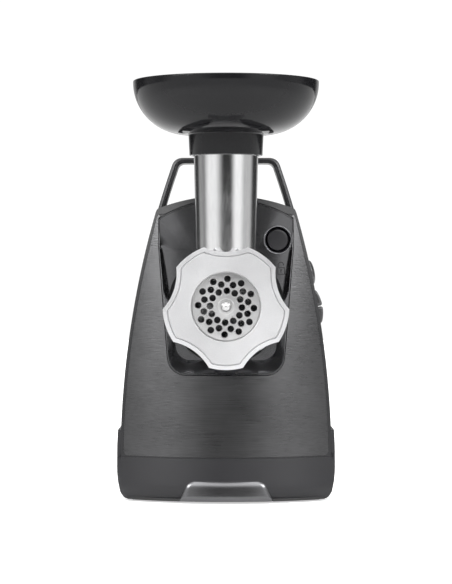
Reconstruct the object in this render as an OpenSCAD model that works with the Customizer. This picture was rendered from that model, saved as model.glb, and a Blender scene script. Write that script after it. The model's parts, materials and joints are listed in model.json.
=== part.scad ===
// Electric meat grinder. X to the right seen from the front, Y to the rear, Z up, millimetres.
// The origin is on the table, under the middle of the whole machine.

/* [Body] */
// Half width of the body at its widest level
body_half_w = 89.6; // [88:0.1:90.2]
// Level at which the body is widest
body_wide_z = 35; // [32:1:38]
// Radius of the curved flanks, seen from the front
flank_r = 760; // [740:10:780]
// Level of the top of the dome
dome_z = 258.5; // [257:0.5:260]
// Radius of the dome, seen from the front
dome_r = 165; // [160:1:175]
// Level of the seam between the base and the shells
seam_z = 37.5; // [36:0.5:38.5]
// Front of the body at the seam
foot_y = -60; // [-62:0.5:-59]
// Backward slope of the front panel in degrees
panel_tilt = 9.2; // [9:0.1:9.4]
// Radius of the front panel, seen from above
panel_bow_r = 144; // [142:1:150]
// Wall thickness of the plastic shells
wall = 3; // [2.8:0.1:3.2]

/* [Base] */
// Half width of the base
base_half_w = 92.5; // [92.3:0.1:93]
// Level of the underside of the base above the table
base_z = 1.5; // [1.2:0.1:1.8]
// Top of the side wings of the base
wing_z = 59.5; // [55:0.5:62]
// Width of the flat top of the silver insert
insert_top_w = 49; // [46:0.5:52]
// Width of the silver insert at its foot
insert_foot_w = 79; // [76:0.5:82]
// Level of the top of the silver insert
insert_top_z = 20.7; // [19:0.1:22]

/* [Head] */
// Level of the axis of the auger
head_z = 165; // [164.5:0.1:165.5]
// Front face of the ring nut
nut_front_y = -138; // [-138.2:0.1:-137.8]
// Radius of the ring nut over its lobes
nut_r = 50.7; // [50:0.1:51.5]
// Radius of the ring nut at the bottom of a scallop
nut_waist_r = 43.8; // [43:0.1:44.5]
// Radius of the grinding plate
plate_r = 31; // [30.9:0.05:31.1]
// Diameter of a hole in the plate
plate_hole_d = 4.8; // [4:0.1:5]
// Distance of the feed tube's axis from the middle of the machine
tube_y = -83; // [-83.2:0.1:-82.8]
// Radius of the bore of the feed tube
tube_bore_r = 23.3; // [23:0.1:23.4]
// Radius of the rim of the tray
tray_r = 76.6; // [74:0.1:78]
// Level of the rim of the tray
tray_z = 350.6; // [346:0.1:355]

/* [Handle] */
// Level of the top of the handle
handle_z = 293; // [288:0.5:296]
// Width of the handle from front to rear
handle_w = 28; // [24:0.5:30]

/* [Hidden] */
$fn = 48;
fine = 180;
gap = 0.2;

rear_y = tray_r - tube_y;
rear_profile_r = 330;
rear_bow_r = 150;
split_y = 10;

// Fascia around the head
flush_z = 214;
fascia_y = -25.2;
fascia_bow_r = 300;
fascia_back_y = -16;
fascia_half_w = 57.4;
arch_z = 255.5;
arch_r = 111;

// Barrel and what is in it, from the front to the rear
nut_depth = 26;
nut_lip = 4.5;
plate_y = nut_front_y + nut_lip + 0.1;
plate_t = 6;
seat_y = plate_y + plate_t + 0.1;
barrel_front_y = seat_y - 3.2;
thread_r = 36.9;
barrel_r = 32;
chamber_r = 29.5;
auger_bore_r = 27;
auger_end_y = -46.3;
flange_y = -13.4;
flange_t = 4;
flange_r = 44.5;
lug_r = 48.6;
ring_r = 49.4;
lug_angle = 34;
lug_span = 28;
lip_angle = 28;
lip_span = 20;
spigot_r = 20.9;
bush_r = 9;
pin_y = nut_front_y + 4.8;

// Drive axes, X and Z
output_at = [0, head_z];
second_at = [-22, head_z - 39.26];
first_at = [8, second_at[1] - 18.02];
motor_at = [0, first_at[1] - 32.63];

// Gear train: modules in millimetres and numbers of teeth
output_m = 1.5;
second_m = 1;
first_m = 0.8;
output_teeth = 45;
second_teeth = 56;
first_teeth = 72;
second_pinion = 15;
first_pinion = 14;
rotor_pinion = 12;

case_front_y = -2;
case_back_y = 32;
case_wall = 3;

// Lock button and side buttons
lock_x = 44;
lock_z = 221;
lock_y = fascia_y + bow_sag(fascia_bow_r, lock_x);
lock_turn = asin(lock_x / fascia_bow_r);
latch_pin_at = [29.4, 202.3];
latch_pin = [latch_pin_at[0] - lock_x, lock_z - latch_pin_at[1]];
arm_depth = 24;
spring_seat = 35;
group_z = 177;
group_y = 40;
group_tilt = asin((group_z - body_wide_z) / flank_r);
pair_z = [-6.1, -21.3];
power_z = 16.8;

// ---- Functions and shared shapes ----

function bow_sag(r, x) = r - sqrt(r * r - x * x);

// Half of the angle that an involute tooth spans at radius r
function half_tooth(m, z, r) =
    let (base = m * z / 2 * cos(20), a = acos(min(1, base / r)),
         inv = tan(a) - a * PI / 180, inv_pitch = tan(20) - 20 * PI / 180)
    (0.84 * PI / (2 * z) + inv_pitch - inv) * 180 / PI;

module gear_outline(m, z, turn) {
    pitch_r = m * z / 2;
    base_r = pitch_r * cos(20);
    low_r = pitch_r - 1.25 * m;
    tip_r = pitch_r + 0.9 * m;
    radii = [max(base_r, low_r) + 0.01, pitch_r, pitch_r + 0.5 * m, tip_r];
    root_a = half_tooth(m, z, radii[0]);
    polygon([for (i = [0:z - 1]) let (mid = turn + i * 360 / z) each concat(
        [low_r * [cos(mid - root_a), sin(mid - root_a)]],
        [for (r = radii) let (a = mid - half_tooth(m, z, r)) r * [cos(a), sin(a)]],
        [for (k = [3:-1:0]) let (a = mid + half_tooth(m, z, radii[k])) radii[k] * [cos(a), sin(a)]],
        [low_r * [cos(mid + root_a), sin(mid + root_a)]])]);
}

// Prism along Y of an outline drawn in X and Z
module prism_y(y0, y1) {
    translate([0, y1, 0]) rotate([90, 0, 0]) linear_extrude(y1 - y0) children();
}

module rod_y(r, y0, y1, at = output_at) {
    translate([at[0], y0, at[1]]) rotate([-90, 0, 0]) cylinder(r = r, h = y1 - y0);
}

module tube_y(r_out, r_in, y0, y1, at = output_at) {
    difference() {
        rod_y(r_out, y0, y1, at);
        rod_y(r_in, y0 - 1, y1 + 1, at);
    }
}

// Sector of a ring about the head's axis, angles seen from the front
module ring_sector(r_in, r_out, mid, span, y0, y1) {
    half = span / 2;
    far = r_out * 1.4;
    translate([0, 0, head_z]) prism_y(y0, y1) intersection() {
        difference() {
            circle(r_out, $fn = fine);
            circle(r_in, $fn = fine);
        }
        polygon([[0, 0], far * [cos(mid - half), sin(mid - half)],
            far * [cos(mid + half), sin(mid + half)]]);
    }
}

module helix_wire(r, wire_r, length, turns) {
    sides = 6;
    steps = 10 * turns;
    function ring(k) = let (a = 360 * turns * k / steps, z = length * k / steps)
        [for (j = [0:sides - 1]) let (q = 360 * j / sides, d = r + wire_r * cos(q))
            [d * cos(a), d * sin(a), z + wire_r * sin(q)]];
    points = [for (k = [0:steps]) each ring(k)];
    walls = [for (k = [0:steps - 1], j = [0:sides - 1]) let (n = (j + 1) % sides)
        [k * sides + j, (k + 1) * sides + j, (k + 1) * sides + n, k * sides + n]];
    polyhedron(points, concat(walls, [[for (j = [0:sides - 1]) j]],
        [[for (j = [sides - 1:-1:0]) steps * sides + j]]), convexity = 6);
}

// Front view of the body, as far as its flanks and dome
module front_outline(inset = 0, low = seam_z, top_r = dome_r) {
    intersection() {
        translate([body_half_w - flank_r, body_wide_z]) circle(flank_r - inset, $fn = 240);
        translate([flank_r - body_half_w, body_wide_z]) circle(flank_r - inset, $fn = 240);
        translate([0, dome_z - dome_r]) circle(top_r - inset, $fn = fine);
        translate([-100, low]) square([200, 400]);
    }
}

// Everything behind the tilted and bowed front surface
module behind_front(inset = 0) {
    translate([0, foot_y, seam_z]) rotate([-panel_tilt, 0, 0])
        translate([0, panel_bow_r, -120]) cylinder(r = panel_bow_r - inset, h = 420, $fn = fine);
}

// Rounded rear, bowed seen from above and leaning forward with height
module before_rear(inset = 0) {
    translate([0, rear_y - rear_bow_r, 0]) rotate_extrude($fn = fine) intersection() {
        translate([rear_bow_r - rear_profile_r, body_wide_z + 5])
            circle(rear_profile_r - inset, $fn = 240);
        translate([0, -20]) square([rear_bow_r, 330]);
    }
}

module body_solid(inset = 0, low = seam_z) {
    intersection() {
        prism_y(-90, 170) front_outline(inset, low);
        behind_front(inset);
        before_rear(inset);
    }
}

module body_shell() {
    difference() {
        body_solid();
        body_solid(wall, seam_z - 5);
    }
}

module base_outline(inset = 0) {
    w = base_half_w - inset;
    points = [[w - 9.5, base_z], [w - 5.5, base_z + 2], [w - 3, base_z + 6], [w - 1, base_z + 15],
        [w, base_z + 28], [w, base_z + 46], [w - 0.6, wing_z]];
    polygon(concat(points, [for (i = [len(points) - 1:-1:0]) [-points[i][0], points[i][1]]]));
}

module base_solid(inset = 0) {
    intersection() {
        prism_y(-90, 170) base_outline(inset);
        behind_front(inset);
        before_rear(inset);
    }
}

module insert_outline(inset = 0) {
    top = insert_top_z - inset;
    r = 9;
    hull() {
        for (s = [-1, 1]) {
            translate([s * (insert_top_w / 2 + 1 - inset), top - r]) circle(r, $fn = 32);
            translate([s * (insert_foot_w / 2 - inset) - 0.5, base_z - 2]) square([1, 0.5]);
        }
    }
}

// Outer outline of the fascia and of its recess, seen from the front
module fascia_outline(inset = 0) {
    r = 16;
    w = fascia_half_w - inset;
    intersection() {
        hull() {
            for (s = [-1, 1]) {
                translate([s * (33.5 - inset), 122.5 + inset]) circle(r, $fn = 32);
                translate([s * (w - 0.5) - 0.5, flush_z]) square([1, 50]);
            }
        }
        translate([0, arch_z - arch_r]) circle(arch_r - inset, $fn = fine);
    }
}

module recess_floor_outline() {
    hull() {
        for (s = [-1, 1]) {
            translate([s * 30, 131.7]) circle(13, $fn = 32);
            translate([s * 49.3 - 0.5, 171.5]) square([1, 1]);
            translate([s * (fascia_half_w - 0.5) - 0.5, flush_z - 1]) square([1, 1]);
        }
    }
}

module fascia_front() {
    translate([0, fascia_y + fascia_bow_r, 60])
        cylinder(r = fascia_bow_r, h = 230, $fn = 360);
}

module recess_mouth_outline() {
    intersection() {
        fascia_outline();
        translate([-70, 90]) square([140, flush_z - 90]);
    }
}

// Space in front of the fascia's floor, with drafted walls
module recess() {
    mouth_y = -19.7;
    slope = 10.8;
    union() {
        hull() {
            translate([0, mouth_y, flush_z]) rotate([-slope, 0, 0]) translate([0, 0, -flush_z])
                prism_y(-0.3, 0) recess_mouth_outline();
            prism_y(-20, -19.6) recess_floor_outline();
        }
        difference() {
            prism_y(-100, 0) recess_mouth_outline();
            translate([0, mouth_y, flush_z]) rotate([-slope, 0, 0]) translate([-100, -0.1, -200])
                cube([200, 100, 300]);
        }
        translate([-100, -100, flush_z - 0.1]) cube([200, 100, 60]);
    }
}

module flank_frame() {
    translate([body_half_w - flank_r, group_y, body_wide_z]) rotate([0, -group_tilt, 0])
        translate([flank_r, 0, 0]) children();
}

module lock_frame() {
    translate([lock_x, lock_y, lock_z]) rotate([0, 0, lock_turn]) rotate([-90, 0, 0]) children();
}

module gearbox_outline(extra = 0) {
    hull() {
        translate(output_at) circle(38.5 + extra, $fn = 40);
        translate(second_at) circle(32 + extra, $fn = 40);
        translate(first_at) circle(32.5 + extra, $fn = 40);
        translate(motor_at) circle(15 + extra, $fn = 40);
    }
}

// Ears around the gearbox, each beside the circle of one gear
function ear(at, r, a) = at + (r + 4.8) * [cos(a), sin(a)];
gearbox_screw_at = [ear(output_at, 38.5, 20), ear(output_at, 38.5, 90), ear(output_at, 38.5, 145),
    ear(second_at, 32, 200), ear(first_at, 32.5, -30)];

module gearbox_flange() {
    gearbox_outline(case_wall);
    for (p = gearbox_screw_at) translate(p) circle(4.6, $fn = 32);
}

// ---- Base ----

base_rib_y = [-20, 105];
base_screw_at = [for (y = base_rib_y, x = [-62, 62]) [x, y]];
foot_at = [[-68, 5], [68, 5], [-60, 120], [60, 120]];

module base_tray() {
    color([0.17, 0.17, 0.18]) difference() {
        base_solid();
        body_solid(-0.15, seam_z);
        difference() {
            intersection() {
                base_solid(6);
                translate([-100, -100, 4]) cube([200, 300, 60]);
            }
            for (p = base_screw_at) translate([p[0], p[1], 0]) cylinder(r = 5, h = 24);
            for (y = base_rib_y) translate([-95, y - 1.5, 0]) cube([190, 3, 18]);
        }
        intersection() {
            base_solid(4);
            translate([-100, -100, 0]) cube([200, 300, 4.01]);
        }
        prism_y(-90, -42) insert_outline();
        for (p = base_screw_at) translate([p[0], p[1], 0]) cylinder(r = 1.8, h = 20);
        rod_y(6.6, 140, 170, [0, 22]);
    }
}

module bottom_plate() {
    color([0.12, 0.12, 0.13]) difference() {
        intersection() {
            base_solid(4.2);
            translate([-100, -100, base_z]) cube([200, 300, 2.4]);
        }
        for (p = base_screw_at) translate([p[0], p[1], 0]) cylinder(r = 1.8, h = 9);
        for (p = base_screw_at) translate([p[0], p[1], 0]) cylinder(r = 3.7, h = base_z + 1.2);
        for (p = foot_at) translate([p[0], p[1], 0]) cylinder(r = 8.1, h = base_z + 1);
        prism_y(-90, -42) insert_outline();
    }
}

module rubber_feet() {
    color([0.05, 0.05, 0.05])
        for (p = foot_at) translate([p[0], p[1], 0]) cylinder(r = 8, h = base_z + 0.9);
}

module base_screws() {
    color("silver") for (p = base_screw_at) translate([p[0], p[1], base_z - 1]) {
        translate([0, 0, 0.4]) cylinder(r = 3.4, h = 1.7);
        translate([0, 0, 2]) cylinder(r = 1.7, h = 14);
    }
}

module front_insert() {
    color([0.72, 0.73, 0.75]) difference() {
        intersection() {
            prism_y(-90, -42.2) insert_outline(gap);
            translate([-60, -90, base_z + 0.2]) cube([120, 60, 30]);
            behind_front(-0.2);
        }
        behind_front(4);
    }
}

module cord_gland() {
    color([0.08, 0.08, 0.08]) {
        difference() {
            union() {
                rod_y(6.5, 148, 161, [0, 22]);
                rod_y(8.5, 148, 150.6, [0, 22]);
            }
            rod_y(3.6, 140, 170, [0, 22]);
            difference() {
                rod_y(9, 147, 162, [0, 22]);
                before_rear(0);
            }
        }
    }
}

// ---- Shells ----

module front_cover() {
    color([0.15, 0.15, 0.16]) difference() {
        intersection() {
            body_shell();
            translate([-100, -100, 0]) cube([200, 100 + split_y - gap, 300]);
        }
        prism_y(-100, -10) fascia_outline(-gap);
        difference() {
            prism_y(-100, -5) panel_outline(0);
            behind_front(0.9);
        }
    }
}

// Outline of the brushed skin: a narrow dark margin stays around it
module panel_outline(inset) {
    difference() {
        intersection() {
            front_outline(2.6 + inset, seam_z + 0.8 + inset);
            translate([-100, 0]) square([200, 243 - inset]);
        }
        fascia_outline(-gap - inset);
    }
}

module front_panel() {
    color([0.24, 0.24, 0.25]) difference() {
        intersection() {
            prism_y(-100, -6) panel_outline(0.1);
            behind_front(0);
        }
        behind_front(0.8);
    }
}

module head_fascia() {
    color([0.2, 0.2, 0.21]) difference() {
        intersection() {
            prism_y(-100, fascia_back_y) fascia_outline();
            union() {
                fascia_front();
                difference() {
                    behind_front(0);
                    recess();
                }
            }
        }
        rod_y(ring_r, -100, -10);
        lock_frame() translate([0, 0, -10]) cylinder(r = 12.3, h = 40);
    }
}

module handle_tangs(grow = 0) {
    for (s = [-1, 1]) translate([s * 53.4 - 1.6 - grow, 20 - grow, 236])
        cube([3.2 + 2 * grow, 20 + 2 * grow, 15]);
}

module rear_housing() {
    color([0.15, 0.15, 0.16]) difference() {
        intersection() {
            body_shell();
            translate([-100, split_y, 0]) cube([200, 200, 300]);
        }
        handle_tangs(gap);
        prism_y(60, 200) vent_outline();
        flank_frame() translate([-12, -15.2, -38.2]) cube([20, 30.4, 76.4]);
    }
}

module vent_outline(inset = 0) {
    translate([inset - 42, 66 + inset]) square([84 - 2 * inset, 76 - 2 * inset]);
}

module vent_grille() {
    color([0.1, 0.1, 0.11]) difference() {
        intersection() {
            body_shell();
            prism_y(60, 200) vent_outline(gap);
        }
        for (k = [0:8]) translate([-36, 60, 71.5 + 8 * k]) cube([72, 140, 3.6]);
    }
}

module handle_outline() {
    difference() {
        offset(r = 10) offset(delta = -10) intersection() {
            front_outline(0, seam_z, 400);
            translate([-100, 0]) square([200, handle_z]);
        }
        offset(r = 5) offset(delta = -5) intersection() {
            front_outline(5.7, seam_z, 400);
            translate([-100, 0]) square([200, handle_z - 4.5]);
        }
        translate([0, dome_z - dome_r]) circle(dome_r + 0.1, $fn = fine);
        translate([-100, 0]) square([200, 230]);
    }
}

module carry_handle() {
    color([0.22, 0.22, 0.23]) {
        prism_y(split_y + 6, split_y + 6 + handle_w) handle_outline();
        intersection() {
            handle_tangs();
            prism_y(0, 60) front_outline(0.4, 200, 400);
        }
    }
}

// ---- Lock and side buttons ----

module lock_bezel() {
    color([0.1, 0.1, 0.1]) lock_frame() difference() {
        translate([0, 0, -1]) cylinder(r = 12.1, h = 7);
        translate([0, 0, -2]) cylinder(r = 10.7, h = 5);
        translate([0, 0, 0]) cylinder(r = 9.3, h = 9);
    }
}

module lock_button() {
    color([0.07, 0.07, 0.08]) lock_frame() rotate_extrude($fn = 64) polygon(concat(
        [[0, arm_depth + 4], [0, -0.6], [6.8, -0.5]],
        [for (a = [0:30:90]) [7.6 + 1.6 * sin(a), 1.1 - 1.6 * cos(a)]],
        [[9.2, 6.4], [10.4, 6.4], [10.4, 8.4], [3, 8.4], [3, arm_depth + 4]]));
}

module latch_slider() {
    color([0.75, 0.75, 0.7]) lock_frame() {
        difference() {
            hull() {
                translate([0, 0, arm_depth]) cylinder(r = 6.5, h = 3, $fn = 32);
                translate([latch_pin[0], latch_pin[1], arm_depth])
                    cylinder(r = 3.4, h = 3, $fn = 32);
            }
            translate([0, 0, arm_depth - 1]) cylinder(r = 3.05, h = 5);
        }
        translate([latch_pin[0], latch_pin[1], 15.7]) cylinder(r = 2.2, h = arm_depth - 15.6);
    }
}

module latch_bracket() {
    color([0.6, 0.6, 0.62]) difference() {
        lock_frame() hull() {
            translate([0, 0, spring_seat]) cylinder(r = 8, h = 3, $fn = 32);
            translate([latch_pin[0] - 6, latch_pin[1] + 8, spring_seat])
                cylinder(r = 7, h = 3, $fn = 32);
        }
        prism_y(-20, 40) gearbox_outline(case_wall + 0.05);
        lock_frame() cylinder(r = 3.3, h = 60);
    }
}

module latch_spring() {
    color("silver") lock_frame() translate([0, 0, arm_depth + 3.6])
        helix_wire(4.2, 0.5, spring_seat - arm_depth - 4.2, 4);
}

// Box in the flank that guides the three buttons and holds the board
module button_housing() {
    color([0.1, 0.1, 0.1]) flank_frame() difference() {
        union() {
            translate([-4.5, -15, -38]) cube([4.9, 30, 76]);
            for (y = [-12, 12], z = [-35, 35])
                translate([-14, y, z]) rotate([0, 90, 0]) cylinder(r = 2.2, h = 10);
        }
        translate([-6, 0, power_z]) rotate([0, 90, 0]) cylinder(r = 10.9, h = 9);
        translate([-6, -10.3, -28.8]) cube([9, 20.6, 30.2]);
    }
}

module power_button() {
    color([0.55, 0.56, 0.57]) flank_frame() translate([0, 0, power_z]) rotate([0, 90, 0])
        rotate_extrude($fn = 64) polygon(concat([[0, -10.6], [0, 4.6]],
            [for (a = [15:15:75]) [10.6 * sin(a), 1.6 + 3 * cos(a)]],
            [[10.6, 1.6], [10.6, -4.8], [11.8, -4.8], [11.8, -6], [2.5, -6], [2.5, -10.6]]));
}

// One half of the speed and reverse pair, with a cylindrical crown
module pair_button(z, lean) {
    flank_frame() translate([0, 0, z]) {
        intersection() {
            translate([-6, -10, -7.2]) cube([14, 20, 14.4]);
            translate([-27.4, 0, -lean * 7.2]) rotate([90, 0, 0])
                cylinder(r = 33, h = 24, center = true, $fn = fine);
        }
        translate([-6, -11.4, -7.1]) cube([1.2, 22.8, 14.2]);
        translate([-10.6, 0, 0]) rotate([0, 90, 0]) cylinder(r = 2.5, h = 5);
    }
}

module speed_button() {
    color([0.55, 0.56, 0.57]) pair_button(pair_z[0], 1);
}

module reverse_button() {
    color([0.55, 0.56, 0.57]) pair_button(pair_z[1], -1);
}

module control_board() {
    color([0.1, 0.35, 0.2]) flank_frame() {
        difference() {
            translate([-15.7, -14, -37]) cube([1.6, 28, 74]);
            for (z = concat(pair_z, [power_z])) translate([-17, 0, z]) rotate([0, 90, 0])
                cylinder(r = 1, h = 5);
        }
        translate([-24, -8, -32]) cube([8.3, 16, 12]);
    }
    color("white") flank_frame() for (z = concat(pair_z, [power_z]))
        translate([-14.1, -2.8, z - 2.8]) cube([1.2, 5.6, 5.6]);
}

module button_springs() {
    color("silver") flank_frame() for (z = concat(pair_z, [power_z]))
        translate([-13.5, 0, z]) rotate([0, 90, 0]) helix_wire(4.6, 0.4, 7, 4);
}

// ---- Head socket and gearbox ----

socket_screw_at = [for (a = [45:90:315]) output_at + 30 * [cos(a), sin(a)]];

module head_socket() {
    color([0.25, 0.25, 0.26]) difference() {
        union() {
            tube_y(53, ring_r, fascia_back_y + 0.1, -6);
            rod_y(ring_r + 0.5, -8.8, -6);
            for (k = [0:3]) ring_sector(45.6, ring_r + 0.6, lip_angle + 90 * k, lip_span,
                fascia_back_y + 0.1, flange_y - 0.2);
        }
        rod_y(21, -20, 0);
        for (p = socket_screw_at) rod_y(1.85, -20, 0, p);
        for (p = socket_screw_at) rod_y(3.3, -9, -7.3, p);
        lock_frame() translate([latch_pin[0], latch_pin[1], 0]) cylinder(r = 2.6, h = 40);
    }
}

module socket_screws() {
    color("silver") for (p = socket_screw_at) {
        rod_y(3, -8.7, -7.4, p);
        rod_y(1.75, -7.4, case_front_y - 0.2, p);
    }
}

module output_bushes() {
    color([0.72, 0.53, 0.3]) {
        tube_y(10.9, 7.03, -5.4, -0.6);
        tube_y(10.9, 7.03, 24.6, 31.8);
    }
}

module gearbox_cover() {
    color([0.45, 0.45, 0.46]) difference() {
        prism_y(-5.8, case_front_y) gearbox_flange();
        rod_y(11, -9, 9);
        for (p = gearbox_screw_at) rod_y(1.85, -9, 9, p);
        for (p = socket_screw_at) rod_y(1.85, -9, 9, p);
        rod_y(4.02, -9, 9, second_at);
        rod_y(4.02, -9, 9, first_at);
    }
}

module gearbox_case() {
    color([0.45, 0.45, 0.46]) difference() {
        union() {
            prism_y(case_front_y, case_back_y) gearbox_outline(case_wall);
            prism_y(case_front_y, 12) gearbox_flange();
        }
        prism_y(case_front_y - 1, case_back_y - case_wall) gearbox_outline();
        rod_y(11, 9, 40);
        rod_y(4.02, 9, 40, second_at);
        rod_y(4.02, 9, 40, first_at);
        rod_y(8, 9, 40, motor_at);
        for (p = gearbox_screw_at) rod_y(1.85, -9, 13, p);
        for (p = gearbox_screw_at) rod_y(3.1, 12, 40, p);
    }
}

module gearbox_screws() {
    color("silver") for (p = gearbox_screw_at) {
        rod_y(2.9, 12, 14.4, p);
        rod_y(1.75, case_front_y - 3, 12, p);
    }
}

module idler_pins() {
    color("silver") for (p = [second_at, first_at]) rod_y(4, -5.6, 31.8, p);
}

module output_shaft() {
    color("silver") rod_y(7, -7, 33);
}

module output_gear() {
    color([0.85, 0.82, 0.7]) difference() {
        prism_y(0, 9) translate(output_at) gear_outline(output_m, output_teeth, 0);
        rod_y(7, -1, 10);
        for (k = [0:5]) rod_y(5.5, -1, 10, output_at + 19 * [cos(60 * k), sin(60 * k)]);
    }
}

module output_coupling() {
    color([0.2, 0.2, 0.2]) difference() {
        rod_y(16.6, -24, -7);
        translate([0, 0, head_z]) prism_y(-25, -11.4) circle(12.4, $fn = 6);
    }
}

// A large gear and a pinion in one piece, turning on a pin
module compound_gear(at, m_large, teeth_large, turn_large, y_large, m_small, teeth_small,
        turn_small, y_small) {
    difference() {
        union() {
            prism_y(y_large[0], y_large[1]) translate(at)
                gear_outline(m_large, teeth_large, turn_large);
            prism_y(y_small[0], y_small[1]) translate(at)
                gear_outline(m_small, teeth_small, turn_small);
            rod_y(min(m_small * teeth_small / 2 - 2, 8),
                min(y_large[0], y_small[0]) - 0.6, max(y_large[1], y_small[1]) + 0.6, at);
        }
        rod_y(4.04, -10, 40, at);
    }
}

// Direction from one axis to another, in degrees
function toward(a, b) = atan2(b[1] - a[1], b[0] - a[0]);

// Turn of a pinion whose mate has a tooth or gap at a known phase along the line of centres
function mesh_turn(at, mate, teeth, mate_teeth, mate_turn) =
    let (line = toward(mate, at), offset = (line - mate_turn) * mate_teeth)
    toward(at, mate) + (offset + 180) / teeth;

second_small_turn = mesh_turn(second_at, output_at, second_pinion, output_teeth, 0);
second_large_turn = 0;
first_small_turn = mesh_turn(first_at, second_at, first_pinion, second_teeth, second_large_turn);
first_large_turn = 0;
rotor_turn = mesh_turn(motor_at, first_at, rotor_pinion, first_teeth, first_large_turn);

module second_idler() {
    color([0.85, 0.82, 0.7]) compound_gear(second_at, second_m, second_teeth, second_large_turn,
        [11, 18], output_m, second_pinion, second_small_turn, [0, 9]);
}

module first_idler() {
    color([0.9, 0.9, 0.88]) compound_gear(first_at, first_m, first_teeth, first_large_turn,
        [20.5, 27], second_m, first_pinion, first_small_turn, [11, 18]);
}

// ---- Motor ----

motor_bolt_at = [for (s = [-1, 1]) motor_at + [s * 30, 0]];

module motor_outline() {
    hull() for (x = [-30, 30], z = [-26, 26]) translate(motor_at + [x, z]) circle(7, $fn = 32);
}

module rotor_shaft() {
    color("silver") {
        rod_y(4, 27.2, 128, motor_at);
        prism_y(20.5, 27.2) translate(motor_at) gear_outline(first_m, rotor_pinion, rotor_turn);
    }
}

module armature() {
    color([0.5, 0.35, 0.2]) difference() {
        union() {
            rod_y(19.9, 62, 100, motor_at);
            rod_y(16, 55, 106, motor_at);
        }
        rod_y(4, 50, 110, motor_at);
        for (k = [0:11]) translate([motor_at[0], 61, motor_at[1]]) rotate([0, 30 * k, 0])
            translate([-1.2, 0, 17]) cube([2.4, 40, 4]);
    }
}

module commutator() {
    color([0.8, 0.5, 0.3]) tube_y(11, 4, 107, 118, motor_at);
}

module cooling_fan() {
    color([0.85, 0.85, 0.85]) {
        tube_y(7, 4, 44, 53.5, motor_at);
        tube_y(28, 6.9, 51.5, 53.5, motor_at);
        for (k = [0:10]) translate([motor_at[0], 45, motor_at[1]]) rotate([0, k * 360 / 11, 0])
            translate([10, 0, -0.8]) cube([17.5, 7, 1.6]);
    }
}

module motor_bearings() {
    color([0.6, 0.62, 0.65]) {
        tube_y(8, 4.03, 34, 39, motor_at);
        tube_y(8, 4.03, 121, 126, motor_at);
    }
}

module motor_front_bracket() {
    color([0.6, 0.6, 0.6]) difference() {
        prism_y(case_back_y + 0.05, 61.9) motor_outline();
        rod_y(30.5, 41, 65, motor_at);
        coil_room(54.9, 65);
        rod_y(8.05, 20, 50, motor_at);
        for (p = motor_bolt_at) rod_y(2.1, 20, 70, p);
        for (k = [0:3]) translate([motor_at[0], 46, motor_at[1]]) rotate([0, 45 + 90 * k, 0])
            translate([20, 0, -7]) cube([30, 12, 14]);
    }
}

module motor_rear_bracket() {
    color([0.6, 0.6, 0.6]) difference() {
        prism_y(100.1, 128) motor_outline();
        rod_y(27.5, 90, 119.5, motor_at);
        coil_room(95, 107);
        rod_y(8.05, 110, 126.1, motor_at);
        rod_y(4.5, 110, 130, motor_at);
        for (p = motor_bolt_at) rod_y(2.1, 90, 130, p);
        for (k = [0:3]) translate([motor_at[0], 104, motor_at[1]]) rotate([0, 45 + 90 * k, 0])
            translate([18, 0, -7]) cube([30, 11, 14]);
    }
}

module coil_block(grow) {
    for (s = [-1, 1]) translate([motor_at[0], 81, motor_at[1] + s * 24.5]) difference() {
        translate([-23 - grow, -25.5 - grow, -3.5 - grow])
            cube([46 + 2 * grow, 51 + 2 * grow, 7 + 2 * grow]);
        translate([-15 + grow, -18, -9]) cube([30 - 2 * grow, 36, 18]);
    }
}

// Room for the coils' end turns inside a bracket
module coil_room(y0, y1) {
    translate([motor_at[0] - 24, y0, motor_at[1] - 28.8]) cube([48, y1 - y0, 57.6]);
}

module motor_stator() {
    color([0.4, 0.41, 0.43]) difference() {
        prism_y(62, 100) motor_outline();
        rod_y(20.4, 60, 102, motor_at);
        coil_block(0.25);
        for (p = motor_bolt_at) rod_y(2.1, 60, 102, p);
    }
}

module field_coils() {
    color([0.7, 0.35, 0.15]) coil_block(0);
}

module brush_holders() {
    color([0.8, 0.65, 0.3]) for (s = [-1, 1]) difference() {
        translate([motor_at[0] + s * 19 - 7, 108.4, motor_at[1] - 4.6]) cube([14, 8.2, 9.2]);
        translate([motor_at[0] + s * 19 - 8, 109.4, motor_at[1] - 3.6]) cube([16, 6.2, 7.2]);
    }
}

module carbon_brushes() {
    color([0.15, 0.15, 0.15]) for (s = [-1, 1])
        translate([motor_at[0] + s * 18.2 - 6.9, 109.6, motor_at[1] - 3.4]) cube([13.8, 5.8, 6.8]);
}

module motor_bolts() {
    color("silver") for (p = motor_bolt_at) {
        rod_y(2, 33, 128.1, p);
        rod_y(3.8, 128.1, 131.5, p);
    }
}

module motor_cradle() {
    low = base_z + 2.5;
    top = motor_at[1] - 33.1;
    color([0.12, 0.12, 0.13]) {
        for (y = [63, 95]) translate([-28, y, low]) cube([56, 4, top - low]);
        translate([-28, 67, top - 4]) cube([56, 28, 4]);
    }
}

// ---- Head ----

module lug_flange() {
    rod_y(flange_r, flange_y, flange_y + flange_t);
    for (k = [0:3])
        ring_sector(flange_r - 1, lug_r, lug_angle + 90 * k, lug_span, flange_y, flange_y + flange_t);
}

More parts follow.
